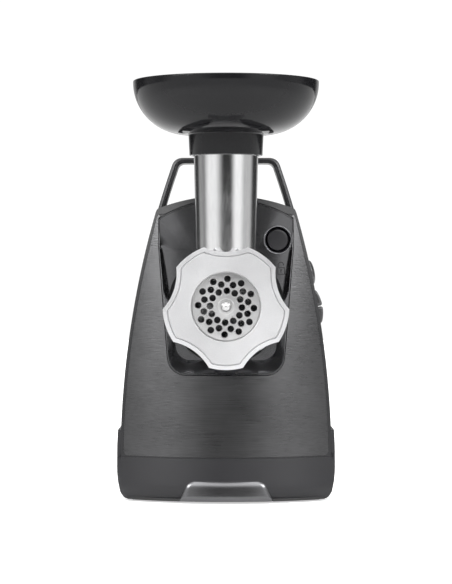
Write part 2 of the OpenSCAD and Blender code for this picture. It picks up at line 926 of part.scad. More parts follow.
module grinder_barrel() {
    color([0.78, 0.78, 0.8]) difference() {
        union() {
            rod_y(thread_r, barrel_front_y, -112);
            rod_y(barrel_r, -112.5, -30);
            rod_y(36, -30, flange_y + 0.5);
            lug_flange();
            rod_y(spigot_r, flange_y, -6.2);
            translate([0, tube_y, head_z]) cylinder(r = 28.2, h = 42);
        }
        rod_y(plate_r + 0.25, barrel_front_y - 1, seat_y);
        rod_y(chamber_r, seat_y - 1, -115);
        rod_y(auger_bore_r, -116, auger_end_y);
        rod_y(12, auger_end_y - 1, -30);
        rod_y(18.6, -36.5, 0);
        translate([0, tube_y, head_z]) cylinder(r1 = tube_bore_r + 0.3, r2 = tube_bore_r + 0.6, h = 27.3);
        translate([0, tube_y, head_z + 27.2]) cylinder(r = 24.65, h = 60);
        translate([0, barrel_front_y + 1.6, head_z - 29]) rotate([180, 0, 0]) cylinder(r = 1.5, h = 6);
    }
}

module barrel_bush() {
    color([0.72, 0.53, 0.3]) tube_y(11.95, bush_r, -46, -36.8);
}

module plate_key() {
    color("silver") translate([0, barrel_front_y + 1.6, head_z - 29.2]) rotate([180, 0, 0])
        cylinder(r = 1.45, h = 5.6);
}

module feed_tube() {
    color([0.85, 0.85, 0.87]) translate([0, tube_y, 0]) difference() {
        union() {
            translate([0, 0, head_z + 27.3]) cylinder(r = 24.55, h = 14.9);
            translate([0, 0, head_z + 42.1]) cylinder(r1 = 24.55, r2 = 26.8, h = 93);
        }
        translate([0, 0, head_z + 20]) cylinder(r = tube_bore_r, h = 140);
    }
}

module hopper_tray() {
    depth = 42.5;
    low = tray_z - 1.6 - depth;
    neck = 32.5;
    reach = tray_r - neck;
    outer = [for (a = [0:9:90]) [neck + reach * cos(a), tray_z - 1.6 - depth * sin(a)]];
    hole_r = tube_bore_r + 0.9;
    inner = [for (a = [90:-9:0])
        [neck - 2 + (reach + 0.2) * cos(a), tray_z - 0.2 - (depth - 1.4) * sin(a)]];
    color([0.06, 0.06, 0.07]) translate([0, tube_y, 0]) rotate_extrude($fn = 96)
        polygon(concat([[hole_r + 0.3, low + 2.6], [hole_r, low - 5], [27.15, low - 5],
            [27.15, low - 17.6], [30.1, low - 17.6], [30.9, low]], [for (i = [10:-1:0]) outer[i]],
            [[tray_r, tray_z], [tray_r - 1.6, tray_z]], [for (i = [10:-1:1]) inner[i]]));
}

plate_rings = [[12.8, 87], [18.2, 102], [22.4, 87]];

module grinding_plate() {
    color([0.82, 0.81, 0.82]) difference() {
        union() {
            rod_y(plate_r, plate_y, plate_y + plate_t);
            rod_y(6.6, plate_y - 0.8, plate_y + 1);
        }
        rod_y(4.05, plate_y - 3, plate_y + plate_t + 3);
        for (ring = plate_rings, k = [0:11]) let (a = ring[1] - 30 * k)
            rod_y(plate_hole_d / 2, plate_y - 3, plate_y + plate_t + 3,
                output_at + ring[0] * [cos(a), sin(a)]);
        translate([-2.1, plate_y - 1, head_z - plate_r - 2]) cube([4.2, plate_t + 2, 4]);
    }
}

module nut_outline() {
    half_chord = nut_r * sin(20.3);
    rise = nut_r * cos(20.3) - nut_waist_r;
    scallop_r = (half_chord * half_chord + rise * rise) / (2 * rise);
    difference() {
        circle(nut_r, $fn = fine);
        for (k = [0:4]) rotate(90 + 72 * k) translate([nut_waist_r + scallop_r, 0])
            circle(scallop_r, $fn = fine);
    }
}

module ring_nut() {
    color([0.75, 0.75, 0.77]) difference() {
        translate([0, 0, head_z]) prism_y(nut_front_y, nut_front_y + nut_depth) nut_outline();
        rod_y(28, nut_front_y - 1, nut_front_y + 10);
        rod_y(thread_r + 0.4, nut_front_y + nut_lip, nut_front_y + 60);
    }
}

module auger_screw() {
    length = 66;
    color([0.7, 0.7, 0.72]) difference() {
        translate([0, -47.6, head_z]) rotate([90, 0, 0])
            linear_extrude(length, twist = 900, slices = 64) union() {
                circle(11, $fn = 16);
                polygon([[0, 0], each [for (a = [0:28:56]) 26.2 * [cos(a), sin(a)]]]);
            }
        rod_y(6.1, -120, -40);
    }
}

module auger_spindle() {
    color("silver") {
        rod_y(3.98, pin_y, -126.2);
        translate([0, pin_y, head_z]) intersection() {
            sphere(r = 3.98);
            translate([-5, -5, -5]) cube([10, 5, 10]);
        }
        translate([-4.5, -126.2, head_z - 4.5]) cube([9, 12.4, 9]);
        rod_y(6, -113.8, -46.6);
        rod_y(bush_r - 0.05, -46.6, -36);
        rod_y(6, -36, -20);
    }
}

module cutting_knife() {
    front = seat_y + 0.1;
    color([0.7, 0.71, 0.73]) difference() {
        union() {
            rod_y(9.5, front + 0.4, front + 11);
            for (k = [0:3]) translate([0, front, head_z]) rotate([0, 90 * k + 30, 0])
                translate([-4, 0, 0]) cube([8, 5, 28]);
        }
        translate([-4.65, front - 1, head_z - 4.65]) cube([9.3, 20, 9.3]);
    }
}

module drive_coupling() {
    color([0.9, 0.9, 0.88]) difference() {
        translate([0, 0, head_z]) prism_y(-35, -12) circle(12, $fn = 6);
        rod_y(6.02, -40, -19.9);
    }
}

base_tray();
bottom_plate();
rubber_feet();
base_screws();
front_insert();
front_cover();
front_panel();
head_fascia();
rear_housing();
vent_grille();
cord_gland();
carry_handle();
lock_bezel();
button_housing();
control_board();
button_springs();
head_socket();
socket_screws();
gearbox_cover();
gearbox_case();
gearbox_screws();
output_bushes();
idler_pins();
latch_bracket();
latch_spring();
motor_front_bracket();
motor_rear_bracket();
motor_stator();
field_coils();
brush_holders();
carbon_brushes();
motor_bolts();
motor_cradle();
motor_bearings();
grinder_barrel();
barrel_bush();
plate_key();
feed_tube();
grinding_plate();
ring_nut();
auger_screw();
auger_spindle();
cutting_knife();
drive_coupling();
output_coupling();
output_shaft();
output_gear();
second_idler();
first_idler();
rotor_shaft();
armature();
commutator();
cooling_fan();
lock_button();
latch_slider();
power_button();
speed_button();
reverse_button();
hopper_tray();
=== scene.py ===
import json
import math

import bmesh
import bpy
import numpy as np
from mathutils import Matrix, Vector


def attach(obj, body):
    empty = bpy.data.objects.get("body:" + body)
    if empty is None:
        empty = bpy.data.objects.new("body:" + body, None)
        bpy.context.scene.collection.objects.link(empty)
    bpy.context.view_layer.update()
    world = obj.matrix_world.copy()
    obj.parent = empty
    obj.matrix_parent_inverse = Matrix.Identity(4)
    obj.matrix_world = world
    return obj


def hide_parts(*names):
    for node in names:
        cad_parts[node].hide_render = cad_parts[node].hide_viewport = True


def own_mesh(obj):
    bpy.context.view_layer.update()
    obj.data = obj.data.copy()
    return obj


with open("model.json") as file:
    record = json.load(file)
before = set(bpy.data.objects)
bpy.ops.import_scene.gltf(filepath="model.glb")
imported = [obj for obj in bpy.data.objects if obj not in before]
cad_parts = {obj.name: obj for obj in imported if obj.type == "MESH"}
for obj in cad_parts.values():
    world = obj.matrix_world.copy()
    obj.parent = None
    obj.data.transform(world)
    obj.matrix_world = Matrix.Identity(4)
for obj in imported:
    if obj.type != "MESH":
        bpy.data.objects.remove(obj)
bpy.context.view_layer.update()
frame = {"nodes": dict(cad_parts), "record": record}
MM = 0.001

# ---- Dimensions in millimetres, as in the CAD part ----

HALF_W, WIDE_Z, FLANK_R = 89.6, 35.0, 760.0
DOME_Z, DOME_R, SEAM_Z, FOOT_Y = 258.5, 165.0, 37.5, -60.0
TILT, BOW_R, WALL = math.radians(9.2), 144.0, 3.0
REAR_BOW, REAR_R, REAR_AXIS_Y, SPLIT_Y = 150.0, 330.0, 9.6, 10.0
PANEL_EDGE, PANEL_DEPTH, PANEL_TOP = 2.6, 0.9, 243.0
BASE_W, BASE_LOW, BASE_TOP, WING_TOP, WING_GAP = 92.5, 1.5, 37.35, 59.5, 0.15
HEAD_Z, TUBE_Y = 165.0, -83.0
TUBE_BORE, TUBE_LOW, TUBE_TOP = 23.3, 192.3, 300.1
NUT_Y, NUT_R, NUT_WAIST, NUT_HALF_LOBE = -138.0, 50.7, 43.8, 20.3
NUT_MOUTH, NUT_LIP, NUT_DEPTH, NUT_BORE = 28.0, 4.5, 26.0, 37.3
PLATE_Y, PLATE_R, PLATE_T, PLATE_HOLE = NUT_Y + 4.6, 31.0, 6.0, 2.4
TRAY_R, TRAY_Z, TRAY_NECK, TRAY_DEPTH = 76.6, 350.6, 32.5, 42.5
FASCIA_Y, FASCIA_R, FASCIA_BACK, RING_R = -25.2, 300.0, -16.0, 49.4
FASCIA_SIDE, FASCIA_KNEE_Z = 57.4, 214.0
LOCK_X, LOCK_Z, LOCK_BORE = 44.0, 221.0, 12.3
BUTTONS_Y, BUTTONS_Z = 40.0, 177.0
POWER_AT, SPEED_AT, REVERSE_AT, BUTTON_R = 16.8, -6.1, -21.3, 10.6
HANDLE_Y, HANDLE_TOP, HANDLE_T = 16.0, 293.0, 5.7
CENTRE = np.array([0.0, HEAD_Z])
TURN = 2 * math.pi


def front_y(x, z, inset=0.0):
    sag = (BOW_R - np.sqrt((BOW_R - inset) ** 2 - x * x)) / math.cos(TILT)
    return FOOT_Y + sag + math.tan(TILT) * (z - SEAM_Z)


def rear_y(x, z):
    rho = REAR_BOW - REAR_R + np.sqrt(REAR_R**2 - (z - 40.0) ** 2)
    return REAR_AXIS_Y + np.sqrt(np.maximum(rho * rho - x * x, 1.0))


def half_w(z, inset=0.0):
    return HALF_W - FLANK_R + np.sqrt((FLANK_R - inset) ** 2 - (z - WIDE_Z) ** 2)


def fascia_bow(x):
    """Front of the fascia: a wide bow that turns away faster near its sides."""
    side_turn = 2.9 * (np.maximum(np.abs(x) - 37.0, 0) / 20.0) ** 2.6
    return FASCIA_Y + FASCIA_R - np.sqrt(FASCIA_R**2 - x * x) + side_turn


# ---- Convex outlines in the front view ----


def convex(points):
    pts = sorted({(round(float(x), 5), round(float(y), 5)) for x, y in points})
    chains = []
    for order in (pts, pts[::-1]):
        chain = []
        for p in order:
            while len(chain) > 1 and (
                (chain[-1][0] - chain[-2][0]) * (p[1] - chain[-2][1])
                - (chain[-1][1] - chain[-2][1]) * (p[0] - chain[-2][0])
            ) <= 0:
                chain.pop()
            chain.append(p)
        chains += chain[:-1]
    return np.array(chains)


def circle_points(x, z, r, n=48):
    return [(x + r * math.cos(a), z + r * math.sin(a)) for a in np.linspace(0, TURN, n, endpoint=False)]


def ray(poly, angles, centre=CENTRE, inset=0.0):
    """Distance from the centre to the edge of a convex outline, at each angle."""
    a, b = poly, np.roll(poly, -1, axis=0)
    n = np.stack([(b - a)[:, 1], -(b - a)[:, 0]], 1)
    n /= np.linalg.norm(n, axis=1)[:, None]
    reach = np.einsum("ij,ij->i", n, a - centre) - inset
    d = np.stack([np.cos(angles), np.sin(angles)], 1) @ n.T
    return np.min(np.where(d > 1e-6, reach[None, :] / np.maximum(d, 1e-6), 1e9), axis=1)


def rounded(poly, r, centre=CENTRE):
    """The outline with every corner given the radius r."""
    angles = np.linspace(0, TURN, 720, endpoint=False)
    d = ray(poly, angles, centre, r)
    pts = np.stack([np.cos(angles) * d, np.sin(angles) * d], 1) + centre
    return convex([q for x, z in pts for q in circle_points(x, z, r, 36)])


def angles_for(*polys, centre=CENTRE, step=2.0, apart=0.35):
    """Even steps and every corner of the outlines, none nearer than apart; step and apart are in degrees."""
    found = [math.radians(a) for a in np.arange(0, 360, step)]
    for p in polys:
        found += [math.atan2(z - centre[1], x - centre[0]) % TURN for x, z in p]
    kept = []
    for a in sorted(found):
        if not kept or a - kept[-1] > math.radians(apart):
            kept.append(a)
    return np.array(kept)


def with_corners(angles, corners, apart=0.012):
    """The angles with the corners put in, and without those that stood too near to one."""
    return np.array(sorted([a for a in angles if min(abs(a - c) for c in corners) > apart] + corners))


def foot_corners(centre):
    """The two lower corners of the body's outline, as seen from a centre."""
    return [math.atan2(SEAM_Z - centre[1], s * half_w(SEAM_Z)) % TURN for s in (-1, 1)]


flank = [(s * half_w(z), z) for s in (-1, 1) for z in np.linspace(SEAM_Z, 245, 60)]
dome = [(x, DOME_Z - DOME_R + math.sqrt(DOME_R**2 - x * x)) for x in np.linspace(-95, 95, 90)]


def clipped(points, *keeps):
    return [p for p in points if all(k(*p) for k in keeps)]


def under_dome(x, z):
    return z <= DOME_Z - DOME_R + math.sqrt(DOME_R**2 - x * x) + 1e-6


def within_flank(x, z):
    return abs(x) <= half_w(z) + 1e-6


body_poly = convex(clipped(flank, under_dome) + clipped(dome, within_flank))
panel_sides = [(s * half_w(z, PANEL_EDGE), z) for s in (-1, 1) for z in np.linspace(SEAM_Z + 0.8, PANEL_TOP, 60)
               if under_dome(half_w(z, PANEL_EDGE), z + PANEL_EDGE)]
panel_arch = [(x, min(PANEL_TOP, DOME_Z - PANEL_EDGE - DOME_R + math.sqrt(DOME_R**2 - x * x)))
              for x in np.linspace(-78, 78, 90) if abs(x) <= half_w(238.0, PANEL_EDGE)]
panel_poly = rounded(convex(panel_sides + panel_arch), 3.2)
hull_poly = convex(circle_points(-33.5, 122.5, 16) + circle_points(33.5, 122.5, 16)
                   + [(s * FASCIA_SIDE, z) for z in (FASCIA_KNEE_Z, 264) for s in (-1, 1)])
arch_poly = convex(circle_points(0, 255.5 - 111, 111, 240))
floor_poly = convex(circle_points(-30, 131.7, 13) + circle_points(30, 131.7, 13)
                    + [(s * x, z) for x, z in ((49.8, 171.5), (57.2, FASCIA_KNEE_Z)) for s in (-1, 1)])


def fascia_ray(angles):
    """The fascia's outline: straight sides under an arch."""
    return np.minimum(ray(hull_poly, angles), ray(arch_poly, angles))


# ---- Mesh building ----


def material(slot_name):
    return bpy.data.materials["finish_" + slot_name]


def make(name, verts, faces, body, slot_name, replaces=(), bevel=0.0, segments=3, angle=32.0, merge=1e-4,
         mat=None):
    """A piece from points in millimetres; edges sharper than angle are bevelled, or marked sharp."""
    mesh = bpy.data.meshes.new(name)
    points = [tuple(v) for v in np.asarray(verts, float) * MM]
    mesh.from_pydata(points, [], [tuple(int(i) for i in f) for f in faces])
    bm = bmesh.new()
    bm.from_mesh(mesh)
    bmesh.ops.remove_doubles(bm, verts=bm.verts, dist=merge * MM)
    bmesh.ops.dissolve_degenerate(bm, edges=bm.edges, dist=1e-8)
    bmesh.ops.recalc_face_normals(bm, faces=bm.faces)
    for f in bm.faces:
        f.smooth = True
    bm.to_mesh(mesh)
    bm.free()
    obj = bpy.data.objects.new(name, mesh)
    bpy.context.scene.collection.objects.link(obj)
    mesh.materials.append(mat or material(slot_name))
    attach(obj, body)
    if replaces:
        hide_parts(*replaces)
    if bevel:
        add_bevel(obj, bevel, segments, angle)
    else:
        sharp(obj, angle)
    return obj


def add_bevel(obj, width, segments, angle):
    m = obj.modifiers.new("Bevel", "BEVEL")
    m.width, m.segments, m.limit_method = width * MM, segments, "ANGLE"
    m.angle_limit, m.use_clamp_overlap = math.radians(angle), True
    m.harden_normals, m.miter_outer = False, "MITER_ARC"
    w = obj.modifiers.new("Normals", "WEIGHTED_NORMAL")
    w.keep_sharp, w.weight = True, 90


def sharp(obj, angle):
    """Marks the edges that turn by more than an angle in degrees."""
    bm = bmesh.new()
    bm.from_mesh(obj.data)
    for e in bm.edges:
        if len(e.link_faces) == 2 and e.calc_face_angle(0) > math.radians(angle):
            e.smooth = False
    bm.to_mesh(obj.data)
    bm.free()


def ring_faces(rings, n, closed_u=True, closed_v=False, start=0):
    """Four-sided faces between rings of n points; u runs along a ring and v from ring to ring."""
    faces = []
    last = rings if closed_v else rings - 1
    for v in range(last):
        for u in range(n if closed_u else n - 1):
            a, b = start + v * n, start + ((v + 1) % rings) * n
            w = (u + 1) % n
            faces.append((a + u, a + w, b + w, b + u))
    return faces


def end_faces(rings, n):
    """The two end faces of a bar whose corner lines are open rings of n points."""
    return [tuple(v * n + at for v in range(rings)) for at in (0, n - 1)]


def ring_piece(name, rings, body, slot_name, closed_u=True, closed_v=True, caps=(), **kw):
    """rings: a list of (n, 3) arrays. caps: indexes of rings that get a face across them."""
    n = len(rings[0])
    faces = ring_faces(len(rings), n, closed_u, closed_v)
    faces += [tuple(k % len(rings) * n + u for u in range(n)) for k in caps]
    return make(name, np.concatenate(rings), faces, body, slot_name, **kw)


def polar(angles, radius, y, centre=CENTRE):
    """A ring in the front view, set to its depth by a function of x and z."""
    x, z = centre[0] + radius * np.cos(angles), centre[1] + radius * np.sin(angles)
    depth = y(x, z) if callable(y) else np.broadcast_to(np.asarray(y, float), x.shape)
    return np.stack([x, depth, z], 1)


def round_profile(points, radii, steps=4):
    """Closed 2D outline with each corner rounded."""
    out, n = [], len(points)
    for i, p in enumerate(points):
        p = np.array(p, float)
        r = radii[i] if hasattr(radii, "__len__") else radii
        if r <= 0:
            out.append(p)
            continue
        a, b = np.array(points[i - 1], float) - p, np.array(points[(i + 1) % n], float) - p
        d = min(r, 0.45 * np.linalg.norm(a), 0.45 * np.linalg.norm(b))
        s, e = p + a / np.linalg.norm(a) * d, p + b / np.linalg.norm(b) * d
        for t in np.linspace(0, 1, steps + 1):
            out.append((1 - t) ** 2 * s + 2 * t * (1 - t) * p + t * t * e)
    return out


def level(r, height, n, x=0.0, y=0.0):
    """A circle of n points about the local axis, or about a line beside it."""
    a = np.linspace(0, TURN, n, endpoint=False)
    return np.stack([np.cos(a) * r + x, np.sin(a) * r + y, np.full(n, height)], 1)


def lathe(name, profile, body, slot_name, place, n=96, radii=0.5, steps=4, **kw):
    """Closed profile of (radius, height) turned about the local axis; place maps local points to the frame."""
    pts = round_profile(profile, radii, steps)
    rings = [place(level(max(r, 0.0), h, n)) for r, h in pts]
    return ring_piece(name, rings, body, slot_name, **kw)


def along_z(x, y):
    return lambda p: p + np.array([x, y, 0.0])


def along_y(p):
    """Local height becomes the depth Y, about the head's axis."""
    return np.stack([p[:, 0], p[:, 2], p[:, 1] + HEAD_Z], 1)


def turned(matrix):
    m = np.array(matrix)
    return lambda p: p @ m[:3, :3].T + m[:3, 3]


def boolean(obj, cutter):
    """Cuts obj and removes the cutter. The cut faces keep the cutter's material, if it has one."""
    m = obj.modifiers.new("Cut", "BOOLEAN")
    m.operation, m.solver, m.object = "DIFFERENCE", "EXACT", cutter
    m.material_mode = "TRANSFER"
    bpy.context.view_layer.update()
    dg = bpy.context.evaluated_depsgraph_get()
    fresh = bpy.data.meshes.new_from_object(obj.evaluated_get(dg))
    obj.modifiers.clear()
    obj.data = fresh
    bpy.data.objects.remove(cutter)


def cutter_mesh(verts, faces):
    mesh = bpy.data.meshes.new("cutter")
    mesh.from_pydata([tuple(v) for v in np.asarray(verts, float) * MM], [], faces)
    bm = bmesh.new()
    bm.from_mesh(mesh)
    bmesh.ops.recalc_face_normals(bm, faces=bm.faces)
    bm.to_mesh(mesh)
    bm.free()
    obj = bpy.data.objects.new("cutter", mesh)
    bpy.context.scene.collection.objects.link(obj)
    return obj


def box_cutter(low, high, place=None):
    x_ends, y_ends, z_ends = zip(low, high)
    v = np.array([[x, y, z] for x in x_ends for y in y_ends for z in z_ends], float)
    if place:
        v = place(v)
    return cutter_mesh(v, [(0, 1, 3, 2), (4, 6, 7, 5), (0, 4, 5, 1), (2, 3, 7, 6), (0, 2, 6, 4), (1, 5, 7, 3)])


def rod_cutter(r, h0, h1, place, n=72):
    rings = [place(level(r, h, n)) for h in (h0, h1)]
    faces = ring_faces(2, n) + [tuple(range(n)), tuple(range(n, 2 * n))]
    return cutter_mesh(np.concatenate(rings), faces)


# ---- Finishes ----


def finish(name, color, rough, metal, grain, scale, stretch=(1, 1, 1), rough_var=0.08, color_var=0.08,
           wear=0.0, specular=0.5):
    """A Principled material whose noise shifts colour and roughness, with a fine bump of the strength grain.
    scale and stretch set the grain's size and direction; wear lightens the outer edges."""
    mat = bpy.data.materials.new("finish_" + name)
    mat.use_nodes = True
    t = mat.node_tree
    b = t.nodes["Principled BSDF"]
    coord = t.nodes.new("ShaderNodeTexCoord")
    mapping = t.nodes.new("ShaderNodeMapping")
    mapping.inputs["Scale"].default_value = stretch
    t.links.new(coord.outputs["Object"], mapping.inputs["Vector"])

    def noise(s, detail, vector):
        n = t.nodes.new("ShaderNodeTexNoise")
        n.inputs["Scale"].default_value = s
        n.inputs["Detail"].default_value = detail
        t.links.new(vector, n.inputs["Vector"])
        return n.outputs["Fac"]

    def ramp(fac, lo, hi, a=0.3, z=0.7):
        n = t.nodes.new("ShaderNodeMapRange")
        n.inputs["From Min"].default_value, n.inputs["From Max"].default_value = a, z
        n.inputs["To Min"].default_value, n.inputs["To Max"].default_value = lo, hi
        t.links.new(fac, n.inputs["Value"])
        return n.outputs["Result"]

    fine = noise(scale, 3.0, mapping.outputs["Vector"])
    broad = noise(22.0, 4.0, coord.outputs["Object"])
    mix = t.nodes.new("ShaderNodeMix")
    mix.data_type = "RGBA"
    c = np.array(color)
    for key, k in ((6, 1 - color_var), (7, 1 + color_var)):
        mix.inputs[key].default_value = (*np.clip(c * k, 0, 1), 1)
    both = t.nodes.new("ShaderNodeMath")
    both.operation = "MULTIPLY_ADD"
    both.inputs[1].default_value = 0.5
    t.links.new(fine, both.inputs[0])
    half = t.nodes.new("ShaderNodeMath")
    half.operation = "MULTIPLY"
    half.inputs[1].default_value = 0.5
    t.links.new(broad, half.inputs[0])
    t.links.new(half.outputs[0], both.inputs[2])
    t.links.new(ramp(both.outputs[0], 0.0, 1.0, 0.38, 0.62), mix.inputs[0])
    shade = mix.outputs[2]
    if wear:
        geo = t.nodes.new("ShaderNodeNewGeometry")
        edge = ramp(geo.outputs["Pointiness"], 0.0, wear, 0.515, 0.56)
        worn = t.nodes.new("ShaderNodeMix")
        worn.data_type = "RGBA"
        worn.inputs[7].default_value = (*np.clip(c * 1.8 + 0.05, 0, 1), 1)
        t.links.new(edge, worn.inputs[0])
        t.links.new(shade, worn.inputs[6])
        shade = worn.outputs[2]
    t.links.new(shade, b.inputs["Base Color"])
    t.links.new(ramp(both.outputs[0], rough - rough_var, rough + rough_var, 0.36, 0.64), b.inputs["Roughness"])
    bump = t.nodes.new("ShaderNodeBump")
    bump.inputs["Strength"].default_value = grain
    bump.inputs["Distance"].default_value = 0.0004
    t.links.new(fine, bump.inputs["Height"])
    t.links.new(bump.outputs["Normal"], b.inputs["Normal"])
    b.inputs["Metallic"].default_value = metal
    b.inputs["Specular IOR Level"].default_value = specular
    return mat


finish("panel", (0.082, 0.082, 0.084), 0.30, 0.8, 0.20, 620, (0.035, 0.5, 2.6), 0.04, 0.14)
finish("shell", (0.013, 0.013, 0.0145), 0.40, 0.0, 0.12, 2600, rough_var=0.05)
finish("fascia", (0.125, 0.125, 0.129), 0.18, 1.0, 0.05, 2400, rough_var=0.04)
finish("base", (0.0150, 0.0147, 0.0170), 0.42, 0.0, 0.12, 2400, rough_var=0.05, wear=0.15)
finish("black_gloss", (0.009, 0.009, 0.010), 0.09, 0.0, 0.01, 500, rough_var=0.03, specular=0.26)
finish("cap", (0.013, 0.0125, 0.015), 0.34, 0.0, 0.06, 2600, rough_var=0.05)
finish("mark", (0.010, 0.010, 0.011), 0.5, 0.0, 0.05, 2600, rough_var=0.05)
finish("rim", (0.22, 0.22, 0.23), 0.25, 0.7, 0.03, 2600, rough_var=0.05)
finish("button", (0.11, 0.11, 0.112), 0.30, 0.7, 0.03, 2500, rough_var=0.06)
finish("handle", (0.040, 0.040, 0.042), 0.33, 0.1, 0.12, 2400, rough_var=0.05, wear=0.22)
finish("silver_trim", (0.15, 0.15, 0.155), 0.20, 0.85, 0.008, 2600, rough_var=0.03)
finish("polished", (0.76, 0.76, 0.765), 0.125, 1.0, 0.01, 700, (1, 1, 0.15), 0.03, 0.03)
finish("cast_aluminium", (0.72, 0.72, 0.73), 0.38, 0.8, 0.14, 1600, rough_var=0.07, color_var=0.05)
finish("steel", (0.66, 0.66, 0.66), 0.34, 0.95, 0.05, 1200, (1, 0.2, 1), 0.07, 0.05)
# The knife is coloured near-black steel: painted shade, so that the plate's holes look dark.
finish("blade_painted_shade", (0.055, 0.055, 0.058), 0.42, 0.9, 0.05, 1200)
finish("black_plastic", (0.018, 0.018, 0.019), 0.5, 0.0, 0.15, 2000)
finish("white_plastic", (0.72, 0.71, 0.66), 0.42, 0.0, 0.06, 1500, color_var=0.04)
finish("bronze", (0.52, 0.34, 0.15), 0.42, 1.0, 0.2, 2400)
finish("copper", (0.45, 0.15, 0.06), 0.33, 0.7, 0.3, 700, (0.2, 1, 4))
finish("iron", (0.16, 0.16, 0.17), 0.45, 0.9, 0.3, 900, (0.1, 6, 0.1))
finish("diecast", (0.38, 0.38, 0.39), 0.46, 0.9, 0.25, 1500)
finish("rubber", (0.014, 0.014, 0.014), 0.72, 0.0, 0.2, 1800)
finish("board", (0.01, 0.10, 0.035), 0.36, 0.0, 0.1, 1200)
finish("carbon", (0.02, 0.02, 0.021), 0.6, 0.1, 0.25, 1600)

slot_of = {s["node"]: s["material_slot"] for s in frame["record"].get("subparts", [])}
for name, obj in frame["nodes"].items():
    obj.data.materials.clear()
    obj.data.materials.append(material(slot_of[name]))
# The knife takes the dark blade colour: painted shade seen through the plate's holes.
frame["nodes"]["cutting_knife"].data.materials[0] = material("blade_painted_shade")

# ---- Front cover, panel and fascia ----

shoulder_poly = rounded(body_poly, 1.2)
cover_angles = angles_for([p for p in body_poly if p[1] < 60], shoulder_poly[::3], step=1.5, apart=0.5)
low_corner = foot_corners(CENTRE)
cover_angles = with_corners(cover_angles, low_corner)
at_bottom = (cover_angles > low_corner[0] + 1e-6) & (cover_angles < low_corner[1] - 1e-6)
high = np.sin(cover_angles) > 0
B = np.where(high, ray(shoulder_poly, cover_angles), ray(body_poly, cover_angles))
F = fascia_ray(cover_angles)
P = ray(panel_poly, cover_angles)
step_r = np.maximum(P, F + 0.5)


def cover_end(x, z):
    """Where the cover ends: at the split to the rear housing, and just behind its front along the bottom."""
    return np.where(at_bottom, front_y(x, z) + 9.0, SPLIT_Y - 0.2)


ring_piece("cover", [
    polar(cover_angles, F + 0.25, lambda x, z: front_y(x, z) + WALL),
    polar(cover_angles, F + 0.25, lambda x, z: front_y(x, z) + PANEL_DEPTH),
    polar(cover_angles, step_r, lambda x, z: front_y(x, z) + PANEL_DEPTH),
    polar(cover_angles, step_r + 0.05, front_y),
    polar(cover_angles, B, front_y),
    polar(cover_angles, B, cover_end),
    polar(cover_angles, B - WALL, cover_end),
    polar(cover_angles, B - WALL, lambda x, z: front_y(x, z) + WALL),
], "housing", "shell", replaces=["front_cover"], bevel=0.55, segments=3, angle=40)

# The panel is a strip around the fascia, from its upper left end past the bottom to its upper right end.
strip_from, strip_to = (math.atan2(PANEL_TOP - HEAD_Z, s * 57.6) % TURN for s in (-1, 1))
strip_to += TURN
onward = {a if a > strip_from else a + TURN for a in angles_for(panel_poly, hull_poly, step=1.5, apart=0.3)}
strip = np.array([strip_from] + sorted(a for a in onward if strip_from < a < strip_to) + [strip_to])
strip_in = fascia_ray(strip) + 0.35
strip_out = np.maximum(ray(panel_poly, strip) - 0.12, strip_in + 0.02)
columns = [polar(strip, strip_in + (strip_out - strip_in) * t, front_y) for t in np.linspace(0, 1, 9)]
backs = [c + np.array([0, 0.8, 0]) for c in columns[::-1]]
ring_piece("panel", columns + backs, "housing", "panel", closed_u=False, replaces=["front_panel"],
           bevel=0.3, segments=2, angle=50)

fa = angles_for(hull_poly, arch_poly[::4], floor_poly, step=2.0, apart=0.45)
F = fascia_ray(fa) - 0.05
floor_r = np.minimum(ray(floor_poly, fa), F - 2.2)


def rim_y(x, z):
    """The fascia's rim follows the cover where that stands further forward."""
    return np.minimum(front_y(x, z), fascia_bow(x))


def mouth_y(x, z):
    """Top of the recess wall: a plane that leans forward towards its foot, kept between rim and bow."""
    plane = -19.7 - math.tan(math.radians(10.8)) * (FASCIA_KNEE_Z - z)
    return np.minimum(np.maximum(plane, rim_y(x, z) + 0.05), fascia_bow(x))


def bow_y(x, z):
    return fascia_bow(x)


wall_top = polar(fa, F - 1.3, mouth_y)
wall_foot = polar(fa, floor_r, bow_y)


def at_radius(r):
    """Point of the drafted wall or of the floor at a radius."""
    share = np.clip((F - 1.3 - r) / (F - 1.3 - floor_r), 0, 1)[:, None]
    on_wall = wall_top + (wall_foot - wall_top) * share
    on_floor = polar(fa, np.minimum(r, floor_r), bow_y)
    return np.where((r > floor_r)[:, None], on_wall, on_floor)


knee = np.maximum(floor_r, RING_R + 0.8)
inward = [at_radius(knee + (RING_R - knee) * t) for t in (0, 0.2, 0.4, 0.6, 0.8, 1)]
fascia = ring_piece("fascia", [
    polar(fa, F, FASCIA_BACK),
    polar(fa, F, rim_y),
    polar(fa, F - 0.3, lambda x, z: rim_y(x, z) - 0.6),
    polar(fa, F - 0.95, lambda x, z: rim_y(x, z) - 0.6),
    wall_top,
    (wall_top * 2 + at_radius(knee)) / 3,
    (wall_top + at_radius(knee) * 2) / 3,
    *inward,
    polar(fa, np.full(len(fa), RING_R), FASCIA_BACK),
], "housing", "fascia", replaces=["head_fascia"])
lock_turn = math.asin(LOCK_X / FASCIA_R)
lock_y = FASCIA_Y + FASCIA_R - math.sqrt(FASCIA_R**2 - LOCK_X**2)
lock_matrix = (Matrix.Translation((LOCK_X, lock_y, LOCK_Z)) @ Matrix.Rotation(lock_turn, 4, "Z")
               @ Matrix.Rotation(-math.pi / 2, 4, "X"))
in_lock = turned(lock_matrix)
boolean(fascia, rod_cutter(LOCK_BORE, -12, 30, in_lock))
sharp(fascia, 32)
add_bevel(fascia, 0.8, 3, 34)

# ---- Rear housing ----

